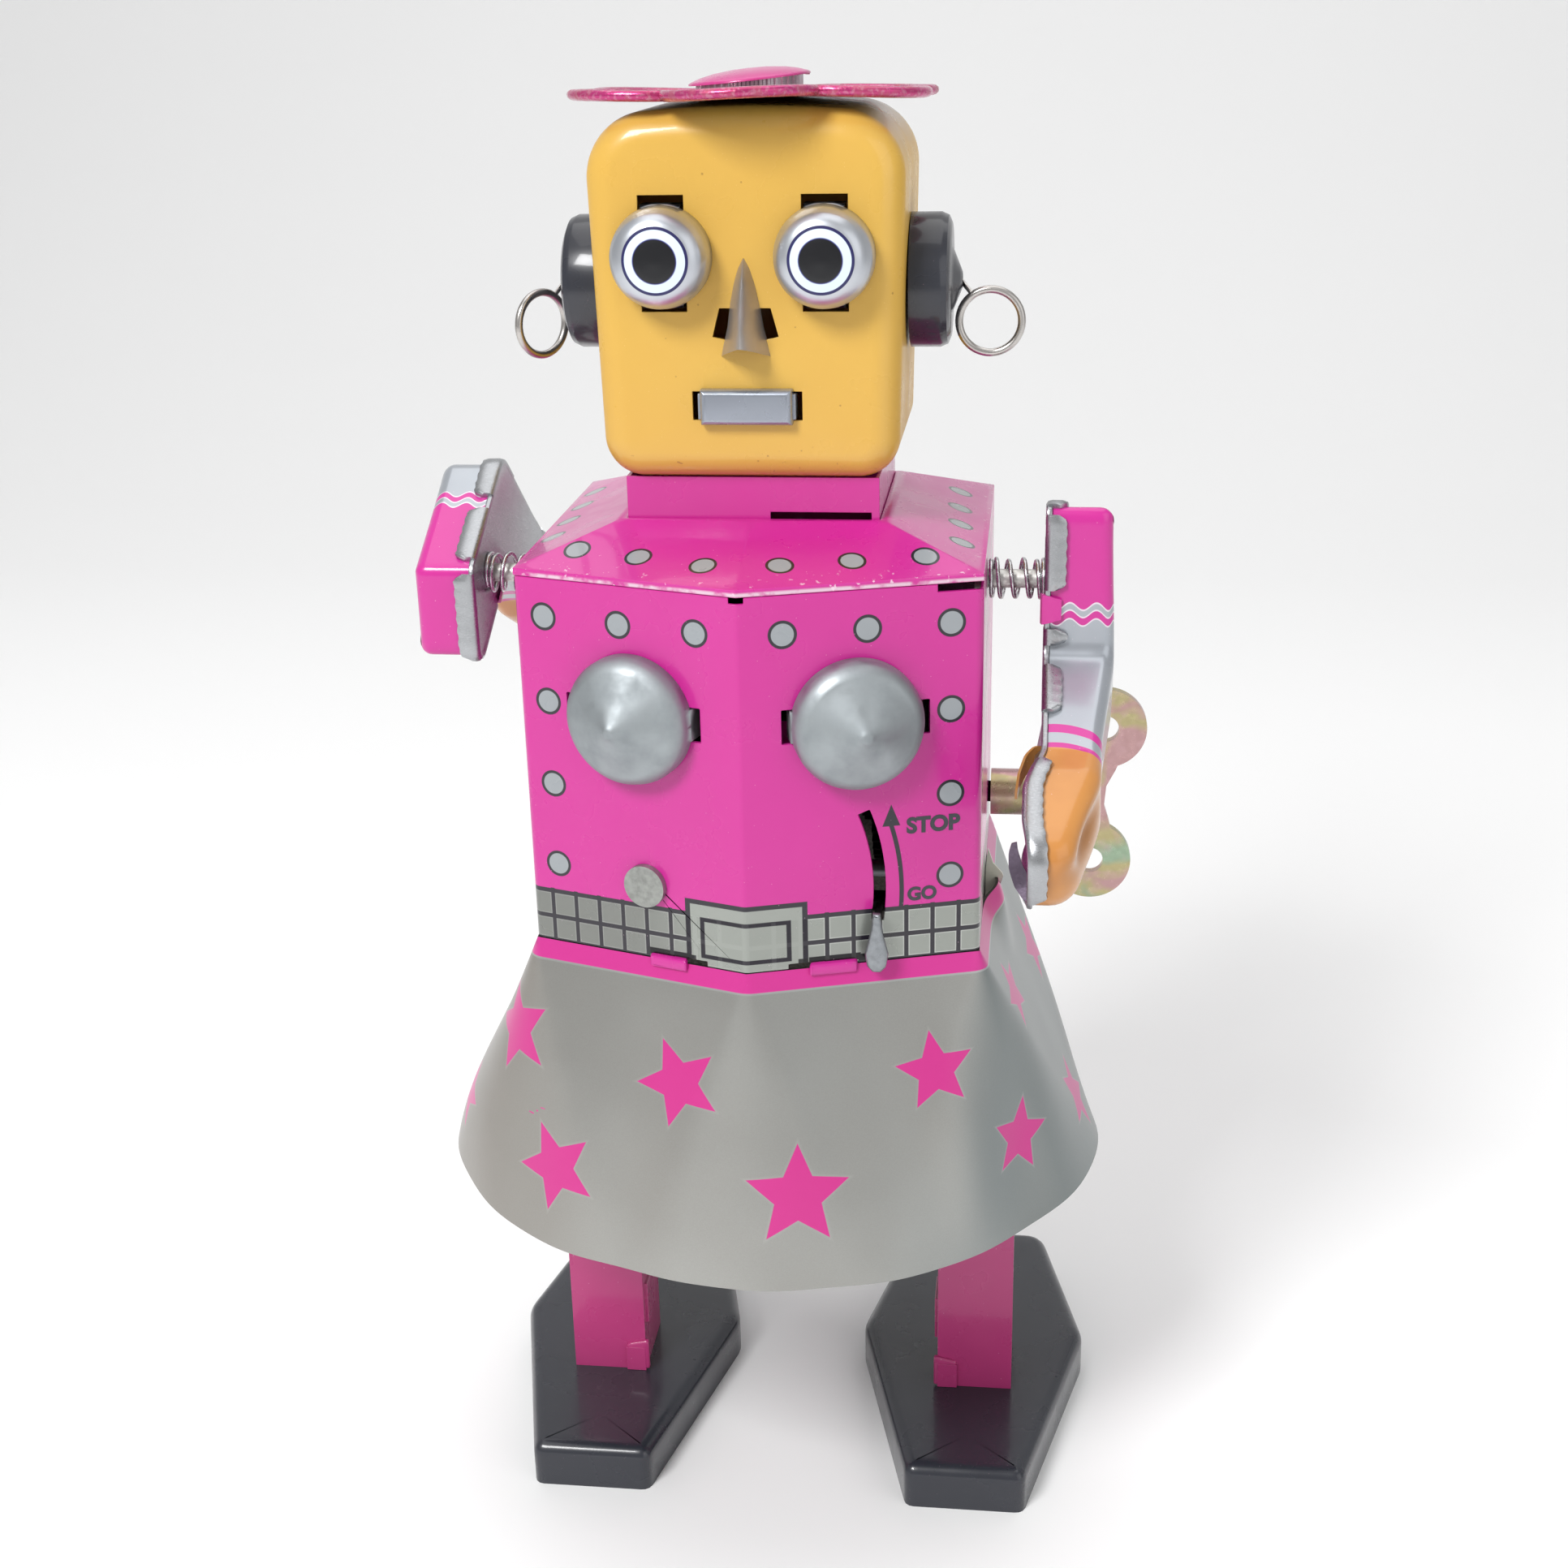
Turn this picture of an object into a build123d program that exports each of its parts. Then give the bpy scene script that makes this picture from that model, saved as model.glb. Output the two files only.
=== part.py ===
from build123d import *
import math
import os

# A clockwork tin walking robot with a skirt, in millimetres. +Z is up, the robot faces -Y, and its own left
# side is +X. The shapes are laid out about the middle of the torso (x = 0), the plane of the torso's front
# corners (y = 0) and the floor (z = 0). export() moves them so that the frame's origin is the middle of the
# footprint.
FOOTPRINT_X = 2.1
FOOTPRINT_Y = 22.8

# Sheet and running clearances
TIN = 0.5
FIT = 0.05
GAP = 0.05

# Torso: a wrapped sheet with a V-shaped front
TORSO_HALF = 29.0
PROW = 9.0
TORSO_BACK = 48.0
TORSO_BEND = 1.3
TORSO_BOTTOM = 93.0
TORSO_TOP = 142.0
SHOULDER_LIP = 0.9
NECK_HALF = 15.8
NECK_FRONT = 8.0
NECK_BACK = 35.0
NECK_BASE = 147.5

# Head
HEAD_BOTTOM = 152.7
HEAD_SIDE_TOP = 195.3
HEAD_CROWN = 196.5
HEAD_HALF_BOTTOM = 18.2
HEAD_HALF_TOP = 19.2
HEAD_FRONT = 5.7
HEAD_SEAM = 22.0
HEAD_BACK = 38.0
EYE_X = 9.7
EYE_Z = 179.7
EYE_RADIUS = 6.0
EAR_Y = 20.5
EAR_Z = 175.0
EAR_RADIUS = 8.2
EAR_IN = 19.0
EAR_OUT = 24.0
HAT_Y = 21.5

# Chest
CHEST_X = 13.8
CHEST_Z = 125.4
CHEST_RADIUS = 8.2
LEVER_X = -13.0
LEVER_Z = 103.1
LEVER_REACH = 29.5
LEVER_REST = -7.0
LEVER_TRAVEL = 26.0

# Arms
ARM_Y = 16.0
ARM_Z = 138.0
ARM_INNER = 36.5
ARM_OUTER = 44.6
AXLE_RADIUS = 1.2
SPRING_MEAN = 2.4
WIRE = 0.3
RIGHT_ARM_TURN = 119.0

# Skirt
SKIRT_TOP = 92.9
SKIRT_HEM = 52.0
HEM_HALF_WIDTH = 47.0
HEM_HALF_DEPTH = 38.2
HEM_Y = 20.8

# Legs and feet
LEG_X = 28.4
LEG_HALF = 5.65
LEG_FRONT = 24.5
LEG_BACK = 36.5
LEG_TOP = 76.0
HIP_Y = 30.0
HIP_Z = 86.0
HANGER_X = 23.3
HANGER_THICK = 0.8
FOOT_X = 27.7
FOOT_TOE = 5.0
FOOT_HEEL = 68.0
FOOT_WIDE_Y = 40.0
FOOT_TOP = 6.9
ROLLER_Y = 45.0
ROLLER_RADIUS = 2.6
ROLLER_Z = 2.75

# Clockwork motor: arbor centres as (y, z), wheels by tooth count
MODULE = 0.55
WIND = (36.0, 101.0)
SECOND = (24.0, 106.5)
CRANK = (30.0, 114.37)
ESCAPE = (30.0, 122.62)
VERGE = (30.0, 131.0)
GREAT_TEETH = 36
SECOND_PINION_TEETH = 12
SECOND_TEETH = 24
CRANK_PINION_TEETH = 12
CRANK_TEETH = 20
ESCAPE_PINION_TEETH = 10
PLATE_X = 20.0
PLATE_THICK = 0.8
CRANK_THROW = 2.0
KEY_START = 29.4
KEY_STEM_END = 36.5
KEY_RING_X = 44.5
KEY_RING_Z = 10.05
KEY_RING_RADIUS = 5.8
KEY_SKEW = 4.6


def export(name, shape):
    """Writes one node, moved into the shared frame."""
    shape = Pos(-FOOTPRINT_X, -FOOTPRINT_Y, 0) * shape
    export_step(shape, os.path.join("parts", name + ".step"))


def rod(y, z, radius, x0, x1):
    """A round bar along X."""
    return Pos((x0 + x1) / 2, y, z) * Rot(0, 90, 0) * Cylinder(radius, abs(x1 - x0))


def block(x0, x1, y0, y1, z0, z1):
    """A box given by its limits."""
    centre = Pos((x0 + x1) / 2, (y0 + y1) / 2, (z0 + z1) / 2)
    return centre * Box(abs(x1 - x0), abs(y1 - y0), abs(z1 - z0))


def slab_z(points, z0, z1):
    """A prism along Z over a polygon of (x, y) points."""
    face = make_face(Polyline(*[(x, y, z0) for x, y in points], close=True))
    return extrude(face, amount=z1 - z0, dir=(0, 0, 1))


def slab_x(points, x0, x1):
    """A prism along X over a polygon of (y, z) points."""
    face = make_face(Polyline(*[(x0, y, z) for y, z in points], close=True))
    return extrude(face, amount=x1 - x0, dir=(1, 0, 0))


def slab_y(points, y0, y1):
    """A prism along Y over a polygon of (x, z) points."""
    face = make_face(Polyline(*[(x, y0, z) for x, z in points], close=True))
    return extrude(face, amount=y1 - y0, dir=(0, 1, 0))


def both_sides(shape):
    """The shape and its mirror image about x = 0."""
    return shape + mirror(shape, about=Plane.YZ)


# ---- torso ----------------------------------------------------------------------------------------------

PROW_SLOPE = PROW / TORSO_HALF
PROW_STRETCH = math.hypot(1, PROW_SLOPE)


def front_y(x, inset=0.0):
    """Y of the V-shaped front at x, on a surface set in by inset."""
    return -PROW + PROW_SLOPE * abs(x) + PROW_STRETCH * inset


def torso_outline(inset, back=TORSO_BACK):
    """The torso's five-cornered outline, set in by inset."""
    half = TORSO_HALF - inset
    corner = front_y(half, inset)
    return [(-half, back), (-half, corner), (0, front_y(0, inset)), (half, corner), (half, back)]


def facet(side, x, z, out=0.0):
    """The plane of one front facet at x, z: its x runs across the chest, its y up and its z outwards."""
    normal = Vector(side * PROW_SLOPE, -1, 0).normalized()
    across = Vector(1, side * PROW_SLOPE, 0).normalized()
    return Plane(origin=Vector(x, front_y(x), z) + normal * out, x_dir=across, z_dir=normal)


def chest_slots(side):
    """The two tab slots beside one chest dome, cut through the facet."""
    plane = facet(side, side * CHEST_X, CHEST_Z)
    cut = None
    for hand in (-1, 1):
        slot = plane * Pos(hand * 8.3, 0, 0) * Box(1.9, 4.4, 4)
        cut = slot if cut is None else cut + slot
    return cut


def lever_angle(turn):
    return math.radians(LEVER_REST + turn)


def lever_point(turn, radius=LEVER_REACH):
    """Where the lever's arm is, as (x, z), with the lever turned up by turn degrees."""
    angle = lever_angle(turn)
    return (LEVER_X + radius * math.cos(angle), LEVER_Z + radius * math.sin(angle))


def lever_slot():
    """The curved slot in the left facet that the stop lever works in."""
    spare = 1.6
    outer = LEVER_REACH + 0.75
    inner = LEVER_REACH - 0.75
    start, middle, end = -spare, LEVER_TRAVEL / 2, LEVER_TRAVEL + spare
    rim = [lever_point(t, outer) for t in (start, middle, end)]
    bore = [lever_point(t, inner) for t in (start, middle, end)]
    y = -8.0
    edges = [
        ThreePointArc(*[(x, y, z) for x, z in rim]),
        Line((rim[2][0], y, rim[2][1]), (bore[2][0], y, bore[2][1])),
        ThreePointArc(*[(x, y, z) for x, z in reversed(bore)]),
        Line((bore[0][0], y, bore[0][1]), (rim[0][0], y, rim[0][1])),
    ]
    return extrude(make_face(edges), amount=7.5, dir=(0, 1, 0))


def bent_prism(inset, back, z0, z1):
    """The torso's outline as an upright prism, with its three front corners bent round and not sharp."""
    prism = slab_z(torso_outline(inset, back), z0, z1)
    bends = prism.edges().filter_by(Axis.Z).filter_by(lambda edge: edge.center().Y < 2)
    return fillet(bends, TORSO_BEND - inset)


def torso_front_shell():
    """The wrapped front and sides, open at the back, with every slot and hole that the fittings need."""
    shell = bent_prism(0, TORSO_BACK, TORSO_BOTTOM, TORSO_TOP - GAP)
    shell -= bent_prism(TIN, TORSO_BACK + 1, TORSO_BOTTOM - 1, TORSO_TOP + 1)
    for side in (-1, 1):
        shell -= chest_slots(side)
        shell -= rod(ARM_Y, ARM_Z, AXLE_RADIUS + FIT, side * 27, side * 31)
        tab = block(side * 9.6, side * 5.2, -12, 0, TORSO_BOTTOM - 1, TORSO_BOTTOM + 0.7)
        shell -= tab
    shell -= rod(WIND[0], WIND[1], 1.5 + FIT, 27, 31)
    shell -= lever_slot()
    shell -= Pos(LEVER_X, -5, LEVER_Z) * Rot(90, 0, 0) * Cylinder(1.0, 6)
    shell -= block(23.5, 29.5, -3, 6, TORSO_TOP - 1.0, TORSO_TOP + 1)
    shell -= block(-0.9, 0.9, -10, -7, TORSO_TOP - 0.8, TORSO_TOP + 1)
    return shell


def torso_back_panel():
    """The back plate with its two side flanges folded forward inside the wrap."""
    half = TORSO_HALF - TIN - GAP
    bottom, top = TORSO_BOTTOM, TORSO_TOP - GAP
    panel = block(-half, half, TORSO_BACK - TIN, TORSO_BACK, bottom, top)
    for side in (-1, 1):
        panel += block(side * (half - TIN), side * half, TORSO_BACK - 4, TORSO_BACK - TIN, bottom, top)
    return panel


def shoulder_solid(inset):
    """The hipped roof over the torso, as a solid set in by inset."""
    lip = TORSO_TOP + SHOULDER_LIP - inset
    grow = 0.8 - inset
    neck = [
        (-NECK_HALF - grow, NECK_BACK + grow),
        (-NECK_HALF - grow, NECK_FRONT - grow),
        (0, NECK_FRONT - 0.6 - grow),
        (NECK_HALF + grow, NECK_FRONT - grow),
        (NECK_HALF + grow, NECK_BACK + grow),
    ]
    outline = torso_outline(inset, TORSO_BACK - inset)
    low = make_face(Polyline(*[(x, y, lip) for x, y in outline], close=True))
    high = make_face(Polyline(*[(x, y, NECK_BASE - inset) for x, y in neck], close=True))
    return slab_z(outline, TORSO_TOP, lip) + loft([low, high], ruled=True)


def neck_outline(inset):
    left, right = -NECK_HALF + inset, NECK_HALF - inset
    front, back = NECK_FRONT + inset, NECK_BACK - inset
    return [(left, back), (left, front), (right, front), (right, back)]


def shoulder_cap():
    """The roof as a shell, with the neck opening."""
    cap = shoulder_solid(0) - shoulder_solid(TIN)
    return cap - slab_z(neck_outline(-FIT), TORSO_TOP, NECK_BASE + 2)


def neck_collar():
    """The short square neck, with the stepped lower edge at its front."""
    collar = slab_z(neck_outline(0), NECK_BASE - 1.2, HEAD_BOTTOM)
    collar -= slab_z(neck_outline(TIN), NECK_BASE - 2, HEAD_BOTTOM + 1)
    return collar - block(2.2, NECK_HALF - 1, NECK_FRONT - 1, NECK_FRONT + 1, NECK_BASE - 2, NECK_BASE + 0.8)


# ---- head -----------------------------------------------------------------------------------------------


def head_solid(inset, y0, y1):
    """The head's rounded outline as a prism along Y, set in by inset."""
    low, high = HEAD_BOTTOM + inset, HEAD_SIDE_TOP - inset
    bottom, top = HEAD_HALF_BOTTOM - inset, HEAD_HALF_TOP - inset
    edges = [
        Line((-bottom, y0, low), (bottom, y0, low)),
        Line((bottom, y0, low), (top, y0, high)),
        ThreePointArc((top, y0, high), (0, y0, HEAD_CROWN - inset), (-top, y0, high)),
        Line((-top, y0, high), (-bottom, y0, low)),
    ]
    solid = extrude(make_face(edges), amount=y1 - y0, dir=(0, 1, 0))
    upright = solid.edges().filter_by(Axis.Y)
    solid = fillet(upright.group_by(Axis.Z)[0], 5.0 - inset)
    upright = solid.edges().filter_by(Axis.Y).filter_by(lambda e: e.center().Z > HEAD_SIDE_TOP - 4)
    return fillet(upright.filter_by(lambda e: abs(e.center().X) > top - 1), 7.8 - inset)


def head_half(y_open, y_closed):
    """One half of the head: a deep-drawn shell with a rounded rim, open at y_open."""
    sign = 1 if y_closed > y_open else -1
    low, high = sorted((y_open, y_closed))
    outer = head_solid(0, low, high)
    rim = outer.faces().sort_by(Axis.Y)[-1 if sign > 0 else 0]
    outer = fillet(rim.edges(), 3.6)
    inner_closed = y_closed - sign * TIN
    low, high = sorted((y_open - sign, inner_closed))
    inner = head_solid(TIN, low, high)
    rim = inner.faces().sort_by(Axis.Y)[-1 if sign > 0 else 0]
    inner = fillet(rim.edges(), 3.1)
    return outer - inner


def face_cutouts():
    """Tab slots behind the eyes, the nose and the mouth."""
    y0, y1 = HEAD_FRONT - 1, HEAD_FRONT + 3
    cuts = block(-6.7, -5.5, y0, y1, 160.2, 163.7) + block(5.5, 6.7, y0, y1, 160.2, 163.7)
    for side in (-1, 1):
        x = side * EYE_X
        cuts += block(x - 2.75, x + 2.75, y0, y1, EYE_Z + 5.0, EYE_Z + 7.0)
        cuts += block(x - 2.75, x + 2.75, y0, y1, EYE_Z - 6.5, EYE_Z - 5.0)
        cuts += slab_y([(side * 1.6, 173.6), (side * 3.1, 173.6), (side * 4.0, 170.2), (side * 2.1, 169.8)], y0, y1)
    return cuts


def ear_holes():
    return both_sides(rod(EAR_Y, EAR_Z, 1.6, 16, 21))


def head_face_shell():
    shell = head_half(HEAD_SEAM, HEAD_FRONT) - face_cutouts() - ear_holes()
    return shell - block(-12, 12, 13, HEAD_SEAM + 1, HEAD_BOTTOM - 1, HEAD_BOTTOM + 2)


def head_back_shell():
    shell = head_half(HEAD_SEAM + GAP, HEAD_BACK) - ear_holes()
    return shell - block(-12, 12, HEAD_SEAM - 1, 31, HEAD_BOTTOM - 1, HEAD_BOTTOM + 2)


def revolved(profile):
    """A solid of revolution about Z from (radius, height) points."""
    face = make_face(Polyline(*[(r, 0, h) for r, h in profile], close=True))
    return revolve(face, axis=Axis.Z)


def eye(side):
    """A pressed eye: a rounded ring, a nearly flat printed disc in its middle, and two tabs."""
    out = [(0, 0), (6.0, 0), (6.0, 1.4), (5.8, 2.9), (5.2, 4.2), (4.3, 5.0), (3.8, 5.1), (2.4, 5.45), (0, 5.6)]
    hollow = [(0, -1), (5.5, -1), (5.5, 1.3), (5.3, 2.7), (4.8, 3.8), (3.9, 4.55), (2.3, 4.95), (0, 5.1)]
    shell = revolved(out) - revolved(hollow)
    for hand in (-1, 1):
        shell += block(-2.4, 2.4, hand * 5.6, hand * 6.0, -1.8, 0.4)
    facing = Plane(origin=(side * EYE_X, HEAD_FRONT - 0.02, EYE_Z), x_dir=(1, 0, 0), z_dir=(0, -1, 0))
    return facing * shell


def nose_solid(inset):
    """The folded nose: a tall wedge, narrow at its tip and open below."""
    tip, foot = 178.6 - inset * 3, 167.8
    half, deep = 3.0 - inset, 5.2 - inset
    base = [(-half, HEAD_FRONT, foot), (half, HEAD_FRONT, foot), (0, HEAD_FRONT - deep, foot)]
    top = [(-0.25, HEAD_FRONT, tip), (0.25, HEAD_FRONT, tip), (0, HEAD_FRONT - 0.6, tip)]
    faces = [make_face(Polyline(*ring, close=True)) for ring in (base, top)]
    return loft(faces, ruled=True)


def nose():
    shell = nose_solid(0) - Pos(0, 0.001, -0.001) * nose_solid(TIN)
    for side in (-1, 1):
        flat = [(side * 1.2, 173.0), (side * 2.5, 173.0), (side * 3.0, 170.5), (side * 1.9, 170.5)]
        tab = [(side * 2.15, 173.0), (side * 2.5, 173.0), (side * 3.0, 170.5), (side * 2.6, 170.5)]
        shell += slab_y(flat, 5.3, HEAD_FRONT) + slab_y(tab, 5.3, 7.4)
    return Pos(0, -0.02, 0) * shell


def mouth():
    """A pressed tray with two end tabs that go through the face."""
    tray = block(-5.6, 5.6, HEAD_FRONT - 1.7, HEAD_FRONT - 0.02, 159.8, 164.1)
    tray = fillet(tray.faces().sort_by(Axis.Y)[0].edges(), 0.8)
    tray -= block(-5.1, 5.1, HEAD_FRONT - 1.2, HEAD_FRONT + 1, 160.3, 163.6)
    for side in (-1, 1):
        tray += block(side * 5.5, side * 5.95, HEAD_FRONT - 0.6, HEAD_FRONT + 1.6, 160.4, 163.5)
    return tray


def along_x(side, shape, x):
    """Turns a shape built up from z = 0 so that it stands out sideways from x."""
    plane = Plane(origin=(side * x, EAR_Y, EAR_Z), x_dir=(0, 1, 0), z_dir=(side, 0, 0))
    return plane * shape


def ear_cap(side):
    """A black cup with a rounded rim, a shallow cone in its middle and a stub into the head."""
    deep = EAR_OUT - EAR_IN
    r = EAR_RADIUS
    out = [(0, 0), (r, 0), (r, deep - 1.3), (r - 0.4, deep - 0.4), (r - 1.3, deep)]
    out += [(4.2, deep), (1.0, deep + 1.3), (0, deep + 1.3)]
    hollow = [(0, -1), (r - TIN, -1), (r - TIN, deep - 1.4), (r - 1.5, deep - TIN), (4.0, deep - TIN)]
    hollow += [(1.0, deep + 0.8), (0, deep + 0.8)]
    cup = revolved(out) - revolved(hollow)
    stub = Pos(0, 0, (deep + 1.0 - 1.8) / 2) * Cylinder(1.2, deep + 1.0 + 1.8)
    eye_hole = Pos(0, 0, deep + 0.9) * Cylinder(WIRE + 0.5, 1.6)
    return along_x(side, cup + stub - eye_hole, EAR_IN)


def earring(side):
    """A wire ring of two close turns, hung by its own straight tail in the ear cap's tip."""
    tip = EAR_OUT + 1.3
    start = Vector(side * (tip - 0.3), EAR_Y, EAR_Z)
    low = Vector(side * (tip + 1.3), EAR_Y, EAR_Z - 1.9)
    direction = low - start
    plane = Plane(origin=start, z_dir=direction)
    tail = plane * Pos(0, 0, direction.length / 2) * Cylinder(WIRE, direction.length)
    turn = 0 if side > 0 else 55
    ring = Rot(0, 0, turn) * Rot(90, 0, 0) * Torus(3.9, 0.5)
    aside = math.radians(turn)
    centre = low + Vector(side * 2.2 * math.cos(aside), side * 2.2 * math.sin(aside), -3.2)
    return tail + Pos(centre) * ring


# ---- hat ------------------------------------------------------------------------------------------------


def flower(petal, middle, height):
    """Six overlapping discs round a middle disc."""
    shape = Cylinder(middle, height)
    for index in range(6):
        angle = math.radians(60 * index - 90)
        shape += Pos(14.6 * math.cos(angle), 14.6 * math.sin(angle), 0) * Cylinder(petal, height)
    return shape


def hat_petals():
    """A flower-shaped dish with a raised rim round its petals."""
    disc = Pos(0, 0, 0.8) * flower(9.2, 11.4, 1.6)
    recess = Pos(0, 0, 1.3) * flower(8.1, 10.3, 1.6)
    bottom = Pos(0, 0, -0.15) * Cylinder(6.0, 0.3)
    return Pos(0, HAT_Y, HEAD_CROWN + 0.4) * (disc - recess + bottom)


def hat_collar():
    """The ribbed ring under the button."""
    ribs = 40
    ring = Cylinder(6.4, 1.3) - Cylinder(5.6, 1.4)
    for index in range(ribs):
        ring += Rot(0, 0, 360 / ribs * index) * Pos(6.45, 0, 0) * Box(0.4, 0.45, 1.3)
    return Pos(-0.6, HAT_Y, HEAD_CROWN + 1.55) * ring


def hat_button():
    """The domed button that closes the hat."""
    out = [(0, 0), (7.5, 0), (7.4, 0.35), (6.2, 0.75), (4.4, 1.05), (2.2, 1.22), (0, 1.28)]
    hollow = [(0, -1), (6.9, -1), (6.9, 0.1), (4.3, 0.6), (2.1, 0.78), (0, 0.84)]
    dome = revolved(out) - revolved(hollow)
    return Pos(-0.6, HAT_Y, HEAD_CROWN + 2.22) * dome


# ---- chest fittings -------------------------------------------------------------------------------------


def chest_cap(side):
    """A spun dome with a steep rounded rim and a shallow cone, held by two tabs."""
    r = CHEST_RADIUS
    out = [(0, 0), (r, 0), (r, 1.6), (r - 0.3, 2.5), (r - 1.1, 3.3), (r - 2.0, 3.7), (1.2, 6.2), (0.6, 6.6), (0, 6.7)]
    hollow = [(0, -1), (r - 0.5, -1), (r - 0.5, 1.5), (r - 1.4, 2.8), (r - 2.2, 3.2), (1.1, 5.7), (0, 6.2)]
    dome = revolved(out) - revolved(hollow)
    for hand in (-1, 1):
        dome += block(hand * (r - 0.45), hand * r, -2.0, 2.0, -2.2, 0.4)
    return facet(side, side * CHEST_X, CHEST_Z, 0.02) * dome


def lever_rivet():
    """The button outside the chest with the straight shank that the stop lever turns on."""
    head = facet(-1, LEVER_X, LEVER_Z, 0.02) * Pos(0, 0, 0.45) * Cylinder(2.8, 0.9)
    shank = Pos(LEVER_X, -2.4, LEVER_Z) * Rot(90, 0, 0) * Cylinder(0.95, 5.6)
    clip = Pos(LEVER_X, 0.1, LEVER_Z) * Rot(90, 0, 0) * Cylinder(1.7, 0.6)
    return head + shank + clip


def stop_lever():
    """The flat lever behind the chest, with a neck through the slot and a drop-shaped end outside."""
    y0, y1 = -1.6, -1.0
    angle = lever_angle(0)
    tip = lever_point(0)
    side = (-math.sin(angle) * 1.2, math.cos(angle) * 1.2)
    near = lever_point(0, 1.5)
    blade = slab_y(
        [
            (near[0] + side[0], near[1] + side[1]),
            (tip[0] + side[0] / 2, tip[1] + side[1] / 2),
            (tip[0] - side[0] / 2, tip[1] - side[1] / 2),
            (near[0] - side[0], near[1] - side[1]),
        ],
        y0,
        y1,
    )
    blade += Pos(LEVER_X, (y0 + y1) / 2, LEVER_Z) * Rot(90, 0, 0) * Cylinder(2.4, y1 - y0)
    blade -= Pos(LEVER_X, (y0 + y1) / 2, LEVER_Z) * Rot(90, 0, 0) * Cylinder(0.95 + FIT, 2)
    x, z = tip
    neck = block(x - 0.4, x + 0.4, -6.2, y1, z - 0.5, z + 0.5)
    drop = [(x - 0.45, z + 0.5), (x + 0.45, z + 0.5), (x + 0.9, z - 2.8), (x + 1.3, z - 4.8)]
    drop += [(x + 0.9, z - 6.3), (x, z - 7.0), (x - 0.9, z - 6.3), (x - 1.3, z - 4.8), (x - 0.9, z - 2.8)]
    return blade + neck + slab_y(drop, -6.2, -5.6)


# ---- skirt ----------------------------------------------------------------------------------------------


def hem_point(angle, inset, z=SKIRT_HEM):
    """A point of the oval hem; angle 0 is the front and 90 degrees is +X."""
    turn = math.radians(angle)
    x = (HEM_HALF_WIDTH - inset) * math.sin(turn)
    return Vector(x, HEM_Y - (HEM_HALF_DEPTH - inset) * math.cos(turn), z)


def hem_angle(dx, dy):
    """The hem angle where the oval runs along the direction (dx, dy), so that a flat triangle fits."""
    return math.degrees(math.atan2(dy / HEM_HALF_DEPTH, dx / HEM_HALF_WIDTH))


def skirt_solid(inset):
    """A square-to-oval skirt: flat triangles under the waist's edges, and cones at its corners."""
    top = [Vector(x, y, SKIRT_TOP) for x, y in torso_outline(inset, TORSO_BACK - inset)]
    corners = [top[2], top[3], top[4], top[0], top[1]]
    prow = hem_angle(1, PROW_SLOPE)
    stops = [-prow, prow, 90, 180, 270, 360 - prow]
    faces = []
    for index, corner in enumerate(corners):
        start, end = stops[index], stops[index + 1]
        steps = 2 if index == 0 else 8
        fan = [hem_point(start + (end - start) * step / steps, inset) for step in range(steps + 1)]
        for a, b in zip(fan, fan[1:]):
            faces.append(make_face(Polyline(corner, a, b, close=True)))
        after = corners[(index + 1) % 5]
        faces.append(make_face(Polyline(corner, fan[-1], after, close=True)))
    ring = []
    for index in range(5):
        start, end = stops[index], stops[index + 1]
        steps = 2 if index == 0 else 8
        ring += [hem_point(start + (end - start) * step / steps, inset) for step in range(steps)]
    faces.append(make_face(Polyline(*ring, close=True)))
    faces.append(make_face(Polyline(*corners, close=True)))
    return Solid(Shell(faces))


def skirt():
    """The skirt's sheet, with tabs that stand up inside the torso."""
    sheet = skirt_solid(0)
    core = skirt_solid(TIN)
    core += slab_z(torso_outline(TIN, TORSO_BACK - TIN), SKIRT_TOP - 0.01, SKIRT_TOP + 1)
    low = [tuple(hem_point(10 * index, TIN))[:2] for index in range(36)]
    core += slab_z(low, SKIRT_HEM - 1, SKIRT_HEM + 0.01)
    sheet = sheet - core
    half = TORSO_HALF - TIN - GAP
    for side in (-1, 1):
        for y0, y1 in ((10, 16), (38, 42)):
            sheet += block(side * (half - TIN), side * half, y0, y1, SKIRT_TOP - 0.9, SKIRT_TOP + 2.6)
            sheet += block(side * (half - TIN), side * (TORSO_HALF - 0.2), y0, y1, SKIRT_TOP - 0.9, SKIRT_TOP - 0.05)
        sheet += facet(side, side * 7.4, SKIRT_TOP + 0.1, -TIN / 2) * Box(3.4, 1.0, TIN)
    return sheet


# ---- arms -----------------------------------------------------------------------------------------------

FOREARM_TILT = math.radians(23.0)
FORE = (-math.cos(FOREARM_TILT), -math.sin(FOREARM_TILT))
ELBOW_Z = -12.0
ARM_HALF = 5.65


def fore_point(along, across):
    """A point of the forearm: along it from the elbow, and across it, upwards positive."""
    y = FORE[0] * along + FORE[1] * across
    z = ELBOW_Z + FORE[1] * along - FORE[0] * across
    return (y, z)


def arm_face(x, grow=0.0):
    """The arm's side outline about its axle, bent at the elbow, with a rounded hand."""
    half = ARM_HALF + grow
    reach = 39.0 + grow
    inner = fore_point((half + FORE[1] * half) / -FORE[0], half)
    outer = fore_point(-(half + FORE[1] * half) / -FORE[0], -half)
    points = [(-half, 10.5 + grow), inner, fore_point(reach - 4.5, half), fore_point(reach, half - 4.5)]
    points += [fore_point(reach, -half + 4.5), fore_point(reach - 4.5, -half), outer, (half, 4.5 + grow)]
    return make_face(Polyline(*[(x, y, z) for y, z in points], close=True))


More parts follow.
